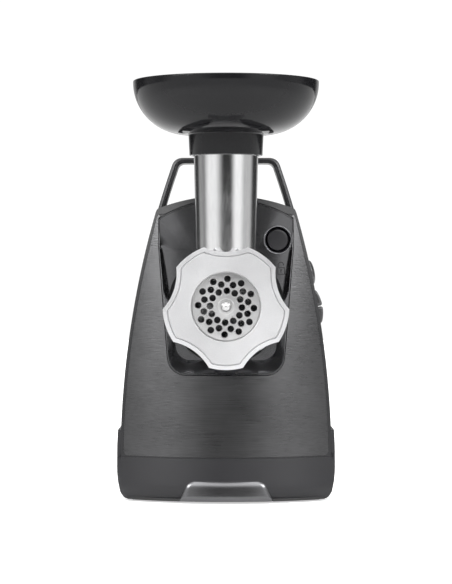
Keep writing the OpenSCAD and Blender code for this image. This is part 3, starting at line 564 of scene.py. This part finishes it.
REAR_C = np.array([0.0, 140.0])
ra = angles_for([p for p in body_poly if p[1] < 60], shoulder_poly[::3], centre=REAR_C, step=2.0, apart=0.5)
rear_corner = foot_corners(REAR_C)
ra = with_corners(ra, rear_corner)
low = (ra > rear_corner[0] + 1e-6) & (ra < rear_corner[1] - 1e-6)
RB = np.where(np.sin(ra) > 0, ray(shoulder_poly, ra, REAR_C), ray(body_poly, ra, REAR_C))
round_r = np.where(low, 0.6, 9.0)


def rear_rings(off):
    """The rear shell's surface, set inward by off: its flanks, its rounded edge and its bowed back."""
    out = [polar(ra, RB - off, lambda x, z: np.where(low, rear_y(x, z) - 12.0, SPLIT_Y), REAR_C)]
    for t in np.linspace(0, math.pi / 2, 6):
        e, d = round_r * (1 - math.cos(t)), round_r * (1 - math.sin(t))
        out.append(polar(ra, RB - off - e, lambda x, z, d=d: rear_y(x, z) - d - off, REAR_C))
    for t in (0.86, 0.7, 0.52, 0.34, 0.16, 0.0):
        out.append(polar(ra, (RB - round_r - off) * t, lambda x, z: rear_y(x, z) - off, REAR_C))
    return out


rear = ring_piece("rear_shell", rear_rings(0.0) + rear_rings(WALL)[::-1], "housing", "shell",
                  replaces=["rear_housing"])
group_tilt = math.asin((BUTTONS_Z - WIDE_Z) / FLANK_R)
flank_matrix = (Matrix.Translation((HALF_W - FLANK_R, BUTTONS_Y, WIDE_Z)) @ Matrix.Rotation(-group_tilt, 4, "Y")
                @ Matrix.Translation((FLANK_R, 0, 0)))
in_flank = turned(flank_matrix)
vent_low, vent_high = (-42, 60, 66), (42, 200, 142)
boolean(rear, box_cutter(vent_low, vent_high))
panel_low, panel_high = (-12, -15.2, -38.2), (20, 15.2, 38.2)
boolean(rear, box_cutter(panel_low, panel_high, in_flank))
sharp(rear, 32)
add_bevel(rear, 0.45, 2, 40)

# ---- Base ----

# The side in the front view as (half width, z), and the heights of the base's levels.
side = np.array([[83.0, BASE_LOW], [85.4, 2.3], [87.0, 3.5], [89.5, 7.5], [91.5, 16.5], [92.35, 24.0],
                 [BASE_W, 30.0], [BASE_W, 46.0], [91.9, WING_TOP]])
rows = [BASE_LOW, 2.2, 3.4, 5.2, 7.5, 10.5, 13.5, 16.5, 20.0, 24.0, 30.0, 34.0, BASE_TOP, 42.0, 47.0, 53.0,
        WING_TOP]
nx, ny = 45, 41


def under(z):
    """How far the foot of the base curves back under."""
    return np.where(z < 14, 8.0 * (np.clip(14 - z, 0, 13) / 12.5) ** 2.2, 0)


def base_half(z):
    return float(np.interp(z, side[:, 1], side[:, 0]))


def wing_inner(z):
    """Half the distance between the wings, just clear of the body's flanks."""
    return float(half_w(z) + WING_GAP)


def base_loop(w, z, shrink=0.0):
    """One level of the base in the plan view: across the front, along a flank, across the rear and back.
    Above the top edge only the flanks rise, as wings."""
    edge_z = min(z, BASE_TOP)
    inner = min(w, wing_inner(z)) if z > BASE_TOP else min(w - 0.01, wing_inner(BASE_TOP))

    def front_at(x, height):
        return front_y(x, height) + under(height) + shrink

    def rear_at(x, height):
        return rear_y(x, height) - 0.8 * under(height) - shrink

    def flank_side(s):
        y0, y1 = front_at(w, z), rear_at(w, z)
        middle = [(s * w, y0 + (y1 - y0) * t, z) for t in np.linspace(0, 1, ny)]
        return [(s * inner, front_at(inner, z), z)] + middle + [(s * inner, rear_at(inner, z), z)]

    xs = np.linspace(-1, 1, nx) * min(w - 0.3, float(half_w(BASE_TOP) - 0.4))
    front = [(x, front_at(x, edge_z), edge_z) for x in xs]
    back = [(x, rear_at(x, edge_z), edge_z) for x in xs]
    return np.array(front + flank_side(1) + back[::-1] + flank_side(-1)[::-1], float)


outer_loops = [base_loop(base_half(z), z) for z in rows]


def inner_wing(z):
    """The inner side of the wings; across the front and rear it lies on the top edge."""
    wing = base_loop(base_half(z), z)
    right, left_end = nx + 1, 2 * nx + 2 * ny + 2
    half = wing_inner(z)
    y0, y1 = front_y(half, z), rear_y(half, z)
    for k in range(ny):
        y = y0 + (y1 - y0) * (k / (ny - 1))
        wing[right + k] = (half, y, z)
        wing[left_end - k] = (-half, y, z)
    return wing


wing_loops = [inner_wing(z) for z in (WING_TOP, 47.0, BASE_TOP)]
inner_top = base_loop(BASE_W - 6.0, BASE_TOP, 6.0)
inner_low = base_loop(BASE_W - 8.5, 4.0, 4.0)
inner_foot = base_loop(BASE_W - 11.6, BASE_LOW, 2.0)
ring_piece("base", outer_loops + wing_loops + [inner_top, inner_low, inner_foot], "housing", "base",
                  replaces=["base_tray"], bevel=0.5, segments=3, angle=42, merge=0.02)

# ---- Silver insert in the front of the base ----

insert_c = np.array([0.0, 10.0])
insert_r, insert_top = 9, 20.6
insert_arcs = [(s * 25.5 + insert_r * math.cos(a), insert_top - insert_r + insert_r * math.sin(a))
               for s in (-1, 1) for a in np.linspace(0, math.pi, 24)]
insert_poly = convex(insert_arcs + [(-39.3, 1.8), (39.3, 1.8)])
ia = angles_for(insert_poly, centre=insert_c, step=3.0, apart=0.6)
IR = ray(insert_poly, ia, insert_c)


def crown(z):
    """The insert's top rolls back."""
    return 2.0 * (np.maximum(z - 12.0, 0) / 8.5) ** 2


def insert_ring(inset, proud, share=1.0):
    """The insert's outline, set inward, shrunk to a share of itself and standing proud of the base."""
    return polar(ia, ray(insert_poly, ia, insert_c, inset) * share,
                 lambda x, z: front_y(x, z) + 0.12 * under(z) - proud + crown(z), insert_c)


edge_r, edge_proud = 4.2, 1.4
rings = [insert_ring(0, -4.0), insert_ring(0, -0.6)]
for k in range(1, 7):
    t = k / 6 * math.pi / 2
    rings.append(insert_ring(edge_r * (1 - math.cos(t)), -0.6 + 2.0 * math.sin(t)))
rings += [insert_ring(edge_r, edge_proud, share) for share in (0.8, 0.6, 0.4, 0.2, 0.0)]
back = [polar(ia, IR * t, lambda x, z: front_y(x, z) + 4.0, insert_c) for t in (0.0, 0.5)]
ring_piece("insert", rings + back, "housing", "silver_trim", replaces=["front_insert"], angle=60)

# ---- Handle ----


def handle_curve(inset, top, corner):
    """Left leg upward, the rounded corner and half of the bar, as (x, z) points."""
    z0 = top - corner
    leg = [(-half_w(z, inset), z) for z in np.linspace(231, z0, 16)]
    p = (-half_w(top - 2, inset), top)
    s, e = leg[-1], (p[0] + corner, top)
    bend = [((1 - t) ** 2 * s[0] + 2 * t * (1 - t) * p[0] + t * t * e[0],
             (1 - t) ** 2 * s[1] + 2 * t * (1 - t) * p[1] + t * t * e[1]) for t in np.linspace(0.1, 1, 10)]
    bar = [(x, top) for x in np.linspace(e[0], 0, 12)[1:]]
    half = np.array(leg + bend + bar)
    return np.concatenate([half, half[::-1][1:] * [-1, 1]])


out_c, in_c = handle_curve(0.0, HANDLE_TOP, 8.0), handle_curve(HANDLE_T, HANDLE_TOP - 4.8, 5.5)
# The handle's section: how far from the outer to the inner curve, and how far back.
cross = [(0.0, 2.2), (0.12, 0.7), (0.44, 0.0), (0.49, 0.8), (0.56, 0.8), (0.61, 0.3), (0.96, 1.9), (1.0, 3.2),
         (1.0, 24.8), (0.6, 28.0), (0.25, 28.0), (0.0, 26.0)]
rings = []
for t, y in cross:
    line = out_c + (in_c - out_c) * t
    rings.append(np.stack([line[:, 0], np.full(len(line), HANDLE_Y + y), line[:, 1]], 1))
n = len(out_c)
faces = ring_faces(len(rings), n, closed_u=False, closed_v=True) + end_faces(len(rings), n)
make("handle", np.concatenate(rings), faces, "housing", "handle", replaces=["carry_handle"],
     bevel=0.3, segments=2, angle=18)

# ---- Tray, tube, nut and plate ----

low_z = TRAY_Z - 1.6 - TRAY_DEPTH
quarter = np.radians(np.linspace(0, 90, 28))
outer = [(TRAY_NECK + (TRAY_R - TRAY_NECK) * math.cos(a), TRAY_Z - 1.6 - TRAY_DEPTH * math.sin(a))
         for a in quarter]
inner = [(TRAY_NECK - 2 + (TRAY_R - TRAY_NECK - 0.4) * math.cos(a),
          TRAY_Z - 0.9 - (TRAY_DEPTH - 1.2) * math.sin(a)) for a in np.radians(np.linspace(90, 0, 28))]
collar = [(TUBE_BORE, low_z + 1.4), (TUBE_BORE, low_z - 5), (27.15, low_z - 5), (27.15, low_z - 17.6),
          (30.1, low_z - 17.6), (30.95, low_z - 0.4), (31.6, low_z + 0.2)]
lip = [(TRAY_R, TRAY_Z - 0.6), (TRAY_R - 0.9, TRAY_Z), (TRAY_R - 1.9, TRAY_Z - 0.4)]
profile = collar + outer[::-1][1:] + lip + inner[::-1][1:-1]
radii = [0.8, 0.3, 0.2, 0.3, 0.6, 0.3, 0.3] + [0] * (len(outer) - 1) + [0.4, 0.4, 0.4] + [0] * (len(inner) - 2)
lathe("tray", profile, "tray", "black_gloss", along_z(0, TUBE_Y), 144, radii,
      replaces=["hopper_tray"], angle=50)
tube_profile = [(TUBE_BORE, TUBE_LOW), (24.55, TUBE_LOW), (24.55, 207.1), (25.65, 253.6), (26.8, TUBE_TOP),
                (TUBE_BORE, TUBE_TOP)]
lathe("tube", tube_profile, "head", "polished", along_z(0, TUBE_Y), 128, [0.2, 0.3, 0, 0, 0.5, 0.5],
      replaces=["feed_tube"], angle=50)

half_lobe = math.radians(NUT_HALF_LOBE)
half_chord, rise = NUT_R * math.sin(half_lobe), NUT_R * math.cos(half_lobe) - NUT_WAIST
scallop = (half_chord**2 + rise**2) / (2 * rise)


def nut_radius(angles, inset=0.0):
    """The nut's outline: a circle with five scallops."""
    r = np.full(len(angles), NUT_R - inset)
    for k in range(5):
        d = angles - math.radians(90 + 72 * k)
        far, s = NUT_WAIST + scallop, scallop + inset
        hit = (np.abs(np.sin(d)) * far < s) & (np.cos(d) > 0)
        along = far * np.cos(d) - np.sqrt(np.maximum(s * s - (far * np.sin(d)) ** 2, 0))
        r = np.where(hit, np.minimum(r, along), r)
    return r


corners = [math.radians(90 + 72 * k + s * NUT_HALF_LOBE) % TURN for k in range(5) for s in (-1, 1)]
na = with_corners(np.radians(np.arange(0, 360, 1.5)), corners)
full = np.ones(len(na))
mouth = [(full * NUT_MOUTH, NUT_LIP), (full * NUT_MOUTH, 1.0), (full * 28.35, 0.0)]
groove = [(nut_radius(na, 4.2), 0.0), (nut_radius(na, 3.95), 1.8), (nut_radius(na, 3.4), 1.8),
          (nut_radius(na, 3.1), 0.1)]
outside = [(nut_radius(na), 0.35), (nut_radius(na), 24.4), (nut_radius(na, 1.2), NUT_DEPTH)]
thread = [(full * (NUT_BORE + 1), NUT_DEPTH), (full * NUT_BORE, NUT_DEPTH - 1), (full * NUT_BORE, NUT_LIP)]
steps = mouth + groove + outside + thread
ring_piece("nut", [polar(na, r, NUT_Y + y) for r, y in steps], "nut", "cast_aluminium", replaces=["ring_nut"],
           bevel=0.14, segments=2, angle=20)

# Radius and height behind the plate's face: the boss, the groove under the nut's mouth and the outside.
plate_steps = [(0.0, -0.8), (6.6, -0.8), (6.6, 0), (27.0, 0), (27.2, 1.6), (27.9, 1.6), (28.3, 0), (PLATE_R, 0),
               (PLATE_R, PLATE_T), (0.0, PLATE_T)]
plate = lathe("plate", [(r, PLATE_Y + h) for r, h in plate_steps], "plate", "steel", along_y, 120,
              [0, 0.35, 0.1, 0.2, 0, 0, 0, 0.3, 0.2, 0], replaces=["grinding_plate"])
cut_verts, cut_faces = [], []


def add_hole(x, z, r, chamfer, n=28):
    start = sum(len(v) for v in cut_verts)
    levels = [(r, PLATE_Y + 8.0), (r, PLATE_Y + chamfer), (r + chamfer + 1.0, PLATE_Y - 1.0)]
    cut_verts.extend(along_y(level(q, h, n, x, z)) for q, h in levels)
    ends = [tuple(start + k * n + i for i in range(n)) for k in (0, 2)]
    cut_faces.extend(ring_faces(3, n, start=start) + ends)


for hole_ring, first in ((12.8, 87), (18.2, 102), (22.4, 87)):
    for k in range(12):
        t = math.radians(first - 30 * k)
        add_hole(hole_ring * math.cos(t), hole_ring * math.sin(t), PLATE_HOLE, 0.3)
cutter = cutter_mesh(np.concatenate(cut_verts), cut_faces)
# The hole walls keep the cutter's dark blade colour: painted shade in the holes.
cutter.data.materials.append(material("blade_painted_shade"))
boolean(plate, cutter)
pin_hole_r, notch_w = 4.05, 2.1
boolean(plate, rod_cutter(pin_hole_r, PLATE_Y - 4, PLATE_Y + 9, along_y, 48))
boolean(plate, box_cutter((-notch_w, PLATE_Y - 2, HEAD_Z - 34), (notch_w, PLATE_Y + 9, HEAD_Z - 29)))
sharp(plate, 30)

# ---- Auger with a smooth flight ----

turns, length, start = 2.5, 66.0, -47.6
count, core_n = 200, 48
front_face = [(r, -half_t) for r, half_t in ((10.5, 3.3), (17.0, 2.5), (24.6, 1.9), (26.2, 1.5))]
share = np.linspace(0, 1, count)
a = math.radians(28) + share * turns * 2 * math.pi
swept = []
for r, h in front_face + [(r, -h) for r, h in front_face[::-1]]:
    y = np.clip(start - share * length - h, start - length, start)
    swept.append(np.stack([r * np.cos(a), y, HEAD_Z + r * np.sin(a)], 1))
core_steps = [(6.1, start), (10.4, start), (11.0, start - 0.8), (11.0, start - length + 0.8),
              (10.4, start - length), (6.1, start - length)]
flight_verts = np.concatenate(swept)
core_verts = np.concatenate([along_y(level(r, y, core_n)) for r, y in core_steps])
flight_faces = ring_faces(len(swept), count, closed_u=False, closed_v=True) + end_faces(len(swept), count)
core_faces = ring_faces(len(core_steps), core_n, closed_v=True, start=len(flight_verts))
make("auger", np.concatenate([flight_verts, core_verts]), flight_faces + core_faces, "auger", "cast_aluminium",
     replaces=["auger_screw"], angle=45)

# ---- Lock button and its bezel ----

bezel = [(9.4, 6), (9.4, 3.4), (10.6, 2.2), (11.0, -0.5), (11.9, -0.5), (11.9, 6)]
lathe("bezel", bezel, "housing", "black_gloss", in_lock, 96, [0.1, 0.3, 0.4, 0.2, 0.2, 0.1],
      replaces=["lock_bezel"], angle=50, mat=material("cap"))
bezel_rim = [(11.1, 0.4), (11.1, -0.7), (11.75, -1.15), (12.25, -0.6), (12.25, 0.4)]
lathe("bezel_rim", bezel_rim, "housing", "black_gloss", in_lock, 96, [0.1, 0.3, 0.5, 0.3, 0.1], angle=60,
      mat=material("rim"))
cap_r, cap_edge = 9.15, 1.6
cap = [(0.0, -0.75), (3.5, -0.72), (6.6, -0.5)]
cap += [(7.55 + cap_edge * math.sin(a), 1.15 - cap_edge * math.cos(a))
        for a in np.radians(np.arange(0, 91, 15))]
cap += [(cap_r, 6.4), (10.4, 6.4), (10.4, 8.4), (3.0, 8.4), (3.0, 28.0), (0.0, 28.0)]
lathe("lock_cap", cap, "lock", "black_gloss", in_lock, 96, 0, replaces=["lock_button"],
      angle=40, mat=material("cap"))

# ---- Side buttons ----

flank_lathe = turned(flank_matrix @ Matrix.Translation((0, 0, POWER_AT)) @ Matrix.Rotation(math.pi / 2, 4, "Y"))
crown_points = [(BUTTON_R * math.sin(a), 1.6 + 3.1 * math.cos(a)) for a in np.radians(np.arange(12, 79, 11))]
crown_profile = [(0.0, -10.6), (0.0, 4.75)] + crown_points
crown_profile += [(10.55, 1.9), (BUTTON_R, -4.8), (11.8, -4.8), (11.8, -6.0), (2.5, -6.0), (2.5, -10.6)]
lathe("power_cap", crown_profile, "power", "button", flank_lathe, 96, [0] * 9 + [0.8] + [0.3] * 5,
      replaces=["power_button"], angle=50)


def pair(name, at, lean, body):
    """One of two rocker-like buttons that share a crown; lean says on which side its neighbour is."""
    half_wide, half_high, edge, crown_r, foot = 10, 7.2, 1.6, 33.0, -6.0
    deepest = 7.19
    poly = rounded(convex([(i * half_wide, j * half_high) for i in (-1, 1) for j in (-1, 1)]), 2.4, np.zeros(2))
    a = angles_for(poly, centre=np.zeros(2), step=4.0, apart=1.0)
    place = turned(flank_matrix @ Matrix.Translation((0, 0, at)))

    def ring(inset, below=None):
        """The outline set inward, below the crown by a height or, without one, at the foot."""
        r = ray(poly, a, np.zeros(2), inset)
        y, z = r * np.cos(a), r * np.sin(a)
        x = np.full(len(a), foot)
        if below is not None:
            x = -27.4 + np.sqrt(crown_r**2 - (z + lean * half_high) ** 2) - below
        return place(np.stack([x, y, z], 1))

    rings = [ring(0), ring(0, edge)]
    rings += [ring(edge * (1 - math.cos(t)), edge * (1 - math.sin(t)))
              for t in np.linspace(0.3, math.pi / 2, 5)]
    rings += [ring(inset, 0.0) for inset in (3.2, 4.8, 6.4, deepest)]
    top = len(rings) - 1
    rings += [ring(0.6) * 0.5 + ring(deepest) * 0.5, ring(deepest)]
    return ring_piece(name, rings, body, "button", closed_v=False, caps=(top, top + 2), angle=50)


for name, z, lean, body in (("speed_cap", SPEED_AT, 1, "speed"), ("reverse_cap", REVERSE_AT, -1, "reverse")):
    obj = pair(name, z, lean, body)
    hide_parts(body + "_button")

# ---- Springs behind the buttons ----


def spring(name, radius, wire, length, turns, matrix):
    """Coil along the local Z, with its end turns closed."""
    per_turn, around = 30, 10
    t = np.linspace(0, 1, per_turn * turns + 1)
    a = 2 * math.pi * turns * t
    rise = wire + (length - 2 * wire) * (t - 0.7 * np.sin(2 * math.pi * t) / (2 * math.pi))
    out = np.stack([np.cos(a), np.sin(a), np.zeros(len(a))], 1)
    middle = out * radius + np.stack([np.zeros(len(a)), np.zeros(len(a)), rise], 1)
    rings = [middle + wire * (out * math.cos(q) + np.array([0, 0, math.sin(q)]))
             for q in np.linspace(0, TURN, around, endpoint=False)]
    place = turned(matrix)
    verts = np.concatenate([place(r) for r in rings])
    faces = ring_faces(around, len(t), closed_u=False, closed_v=True) + end_faces(around, len(t))
    obj = make(name, verts, faces, "housing", "steel", angle=60)
    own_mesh(obj)
    return obj


for k, (name, z) in enumerate((("speed", SPEED_AT), ("reverse", REVERSE_AT), ("power", POWER_AT))):
    at = flank_matrix @ Matrix.Translation((-13.9, 0, z)) @ Matrix.Rotation(math.pi / 2, 4, "Y")
    obj = spring(name + "_spring", 4.6, 0.4, 7.8, 4, at)
    if k == 0:
        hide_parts("button_springs")
lock_spring_at = lock_matrix @ Matrix.Translation((0, 0, 27.1))
lock_spring = spring("lock_spring", 4.2, 0.5, 7.8, 4, lock_spring_at)
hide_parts("latch_spring")

# ---- Rubber feet ----

foot_profile = [(0, 0.35), (4.5, 0.35), (5.2, 0.0), (7.4, 0.0), (8.0, 0.8), (8.0, 2.4), (0, 2.4)]
for i, (x, y) in enumerate(((-68, 5), (68, 5), (-60, 120), (60, 120))):
    obj = lathe(f"foot_{i + 1}", foot_profile, "housing", "rubber", along_z(x, y), 48,
                [0, 0.3, 0.3, 0.5, 0.3, 0.2, 0], angle=50)
    if i == 0:
        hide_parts("rubber_feet")

# ---- Open padlock mark beside the lock button ----


def on_fascia(points, lift):
    """Points of the front view, set proud of the fascia's bow by lift."""
    return [(x, fascia_bow(x) - lift, z) for x, z in points]


def flat_mark(name, outlines, lift=0.12):
    """Thin plates on the fascia, each from points and four-sided faces, closed along their outer edges."""
    verts, faces = [], []
    for outline, quads in outlines:
        start, m = len(verts), len(outline)
        verts += on_fascia(outline, lift) + on_fascia(outline, -0.2)
        for q in quads:
            faces.append(tuple(start + i for i in q))
            faces.append(tuple(start + m + i for i in q[::-1]))
        edges = [edge for q in quads for edge in zip(q, q[1:] + q[:1])]
        for i, j in edges:
            if (j, i) not in edges:
                faces.append((start + i, start + j, start + m + j, start + m + i))
    return make(name, verts, faces, "housing", "black_gloss", angle=60, mat=material("mark"))


def arc_strip(x, z, r0, r1, a0, a1, n=20):
    a = np.radians(np.linspace(a0, a1, n))
    pts = [(x + r * math.cos(t), z + r * math.sin(t)) for r in (r0, r1) for t in a]
    return pts, [(i, i + 1, n + i + 1, n + i) for i in range(n - 1)]


mx, mz = 46.9, 194.5
mark_c = np.array([mx, mz])
body_ring = rounded(convex([(mx + i * 3.4, mz + j * 3.1) for i in (-1, 1) for j in (-1, 1)]), 0.5, mark_c)
mark_n = 64
ma = np.linspace(0, TURN, mark_n, endpoint=False)
edges_in_out = (ray(body_ring, ma, mark_c), ray(body_ring, ma, mark_c, 0.7))
ring_pts = [(mx + r * math.cos(t), mz + r * math.sin(t)) for edge in edges_in_out for r, t in zip(edge, ma)]
ring_quads = [(i, (i + 1) % mark_n, mark_n + (i + 1) % mark_n, mark_n + i) for i in range(mark_n)]
key_pts, key_quads = arc_strip(mx, mz + 0.7, 0.02, 0.75, 0, 360, 24)
stem = [(mx - 0.3, mz - 1.6), (mx + 0.3, mz - 1.6), (mx + 0.3, mz + 0.2), (mx - 0.3, mz + 0.2)]
shackle_pts, shackle_quads = arc_strip(mx - 0.2, mz + 5.2, 1.9, 2.6, -10, 190, 24)
leg = [(mx - 2.8, mz + 3.1), (mx - 2.1, mz + 3.1), (mx - 2.08, mz + 4.8), (mx - 2.78, mz + 4.8)]
flat_mark("padlock_mark", [(ring_pts, ring_quads), (key_pts, key_quads), (stem, [(0, 1, 2, 3)]),
                           (shackle_pts, shackle_quads), (leg, [(0, 1, 2, 3)])])

# ---- Edges of the CAD nodes that stay visible ----

edge_widths = {
    "vent_grille": 0.4, "head_socket": 0.25, "cord_gland": 0.3, "grinder_barrel": 0.3, "bottom_plate": 0.3,
    "button_housing": 0.25, "cutting_knife": 0.2, "drive_coupling": 0.3, "output_coupling": 0.3,
    "latch_bracket": 0.3, "gearbox_case": 0.3,
}
for name, width in edge_widths.items():
    add_bevel(frame["nodes"][name], width, 2, 40)

# ---- Stage, light and camera ----

floor_mesh = bpy.data.meshes.new("floor")
floor_mesh.from_pydata([(-6, -6, 0), (6, -6, 0), (6, 6, 0), (-6, 6, 0)], [], [(0, 1, 2, 3)])
floor = bpy.data.objects.new("floor", floor_mesh)
bpy.context.scene.collection.objects.link(floor)
fm = bpy.data.materials.new("floor")
fm.use_nodes = True
fb = fm.node_tree.nodes["Principled BSDF"]
fb.inputs["Roughness"].default_value = 0.7
fb.inputs["Specular IOR Level"].default_value = 0.1
fn = fm.node_tree.nodes.new("ShaderNodeTexNoise")
fn.inputs["Scale"].default_value = 3.0
fr = fm.node_tree.nodes.new("ShaderNodeMapRange")
fr.inputs["To Min"].default_value, fr.inputs["To Max"].default_value = 0.88, 0.92
fm.node_tree.links.new(fn.outputs["Fac"], fr.inputs["Value"])
fm.node_tree.links.new(fr.outputs["Result"], fb.inputs["Base Color"])
fb.inputs["Emission Color"].default_value = (1, 1, 1, 1)
lp = fm.node_tree.nodes.new("ShaderNodeLightPath")
em = fm.node_tree.nodes.new("ShaderNodeMath")
em.operation = "MULTIPLY"
em.inputs[1].default_value = 0.6
fm.node_tree.links.new(lp.outputs["Is Camera Ray"], em.inputs[0])
fm.node_tree.links.new(em.outputs[0], fb.inputs["Emission Strength"])
floor_mesh.materials.append(fm)

world = bpy.data.worlds.new("studio")
bpy.context.scene.world = world
world.use_nodes = True
wt = world.node_tree
wt.nodes.clear()


def wmath(op, *values):
    """A math node on sockets and numbers."""
    n = wt.nodes.new("ShaderNodeMath")
    n.operation = op
    for i, v in enumerate(values):
        if isinstance(v, (int, float)):
            n.inputs[i].default_value = v
        else:
            wt.links.new(v, n.inputs[i])
    return n.outputs[0]


def window(value, low, high, soft):
    """1 between two limits and 0 outside them, with soft edges."""
    def edge(v, e0, e1):
        n = wt.nodes.new("ShaderNodeMapRange")
        n.interpolation_type = "SMOOTHSTEP"
        n.inputs["From Min"].default_value, n.inputs["From Max"].default_value = e0, e1
        wt.links.new(v, n.inputs["Value"])
        return n.outputs["Result"]

    up = edge(value, low - soft, low + soft)
    down = edge(value, high - soft, high + soft)
    return wmath("MULTIPLY", up, wmath("SUBTRACT", 1.0, down))


wc = wt.nodes.new("ShaderNodeTexCoord")
sep = wt.nodes.new("ShaderNodeSeparateXYZ")
wt.links.new(wc.outputs["Generated"], sep.inputs[0])
wx, wy, wz = sep.outputs
azimuth = wmath("ARCTAN2", wx, wmath("MULTIPLY", wy, -1.0))
elevation = wmath("ARCSINE", wz)


def patch(brightness, az, az_soft, el, el_soft):
    """A softbox by its azimuth from behind the camera, positive to the right, and its elevation, in degrees."""
    across = window(azimuth, *map(math.radians, (*az, az_soft)))
    upward = window(elevation, *map(math.radians, (*el, el_soft)))
    return wmath("MULTIPLY", wmath("MULTIPLY", across, upward), brightness)


patches = [
    patch(1.0, (-80, -24), 18, (-14, 60), 8),
    patch(0.30, (-118, -92), 8, (-30, 60), 8),
    patch(1.10, (26, 64), 12, (-14, 60), 8),
    patch(0.55, (66, 108), 12, (-14, 60), 8),
    patch(2.7, (-46, 46), 16, (32, 66), 7),
    patch(2.2, (-200, 200), 5, (64, 100), 8),
    patch(0.50, (-200, -150), 8, (-10, 60), 10),
    patch(0.50, (150, 200), 8, (-10, 60), 10),
]
strength = 0.045  # the dim room around the softboxes
for p in patches:
    strength = wmath("ADD", strength, p)
path = wt.nodes.new("ShaderNodeLightPath")
camera_mix = wt.nodes.new("ShaderNodeMix")
wt.links.new(path.outputs["Is Camera Ray"], camera_mix.inputs[0])
wt.links.new(strength, camera_mix.inputs[2])
camera_mix.inputs[3].default_value = 1.05
bg = wt.nodes.new("ShaderNodeBackground")
bg.inputs["Color"].default_value = (1, 1, 1, 1)
wt.links.new(camera_mix.outputs[0], bg.inputs["Strength"])
out = wt.nodes.new("ShaderNodeOutputWorld")
wt.links.new(bg.outputs[0], out.inputs["Surface"])

for name, side, power in (("left_box", -1, 4.5), ("right_box", 1, 4.1)):
    lamp = bpy.data.lights.new(name, "AREA")
    lamp.shape, lamp.size, lamp.size_y, lamp.energy = "RECTANGLE", 0.46, 0.30, power
    box = bpy.data.objects.new(name, lamp)
    bpy.context.scene.collection.objects.link(box)
    at = Vector((side * 0.78, -0.62, 0.70))
    box.location = at
    box.rotation_euler = (at - Vector((0, 0, 0.19))).to_track_quat("Z", "Y").to_euler()
    box.visible_camera = False

cam_data = bpy.data.cameras.new("camera")
cam = bpy.data.objects.new("camera", cam_data)
bpy.context.scene.collection.objects.link(cam)
cam.location = (0.0, -1.988, 0.180)
cam.rotation_euler = (math.pi / 2, 0, 0)
cam_data.sensor_fit = "VERTICAL"
cam_data.sensor_height = 36.0
cam_data.lens = 142.5
cam_data.shift_y = -4 / 584
cam_data.clip_start, cam_data.clip_end = 0.1, 50
bpy.context.scene.camera = cam
bpy.context.scene.view_settings.view_transform = "Standard"
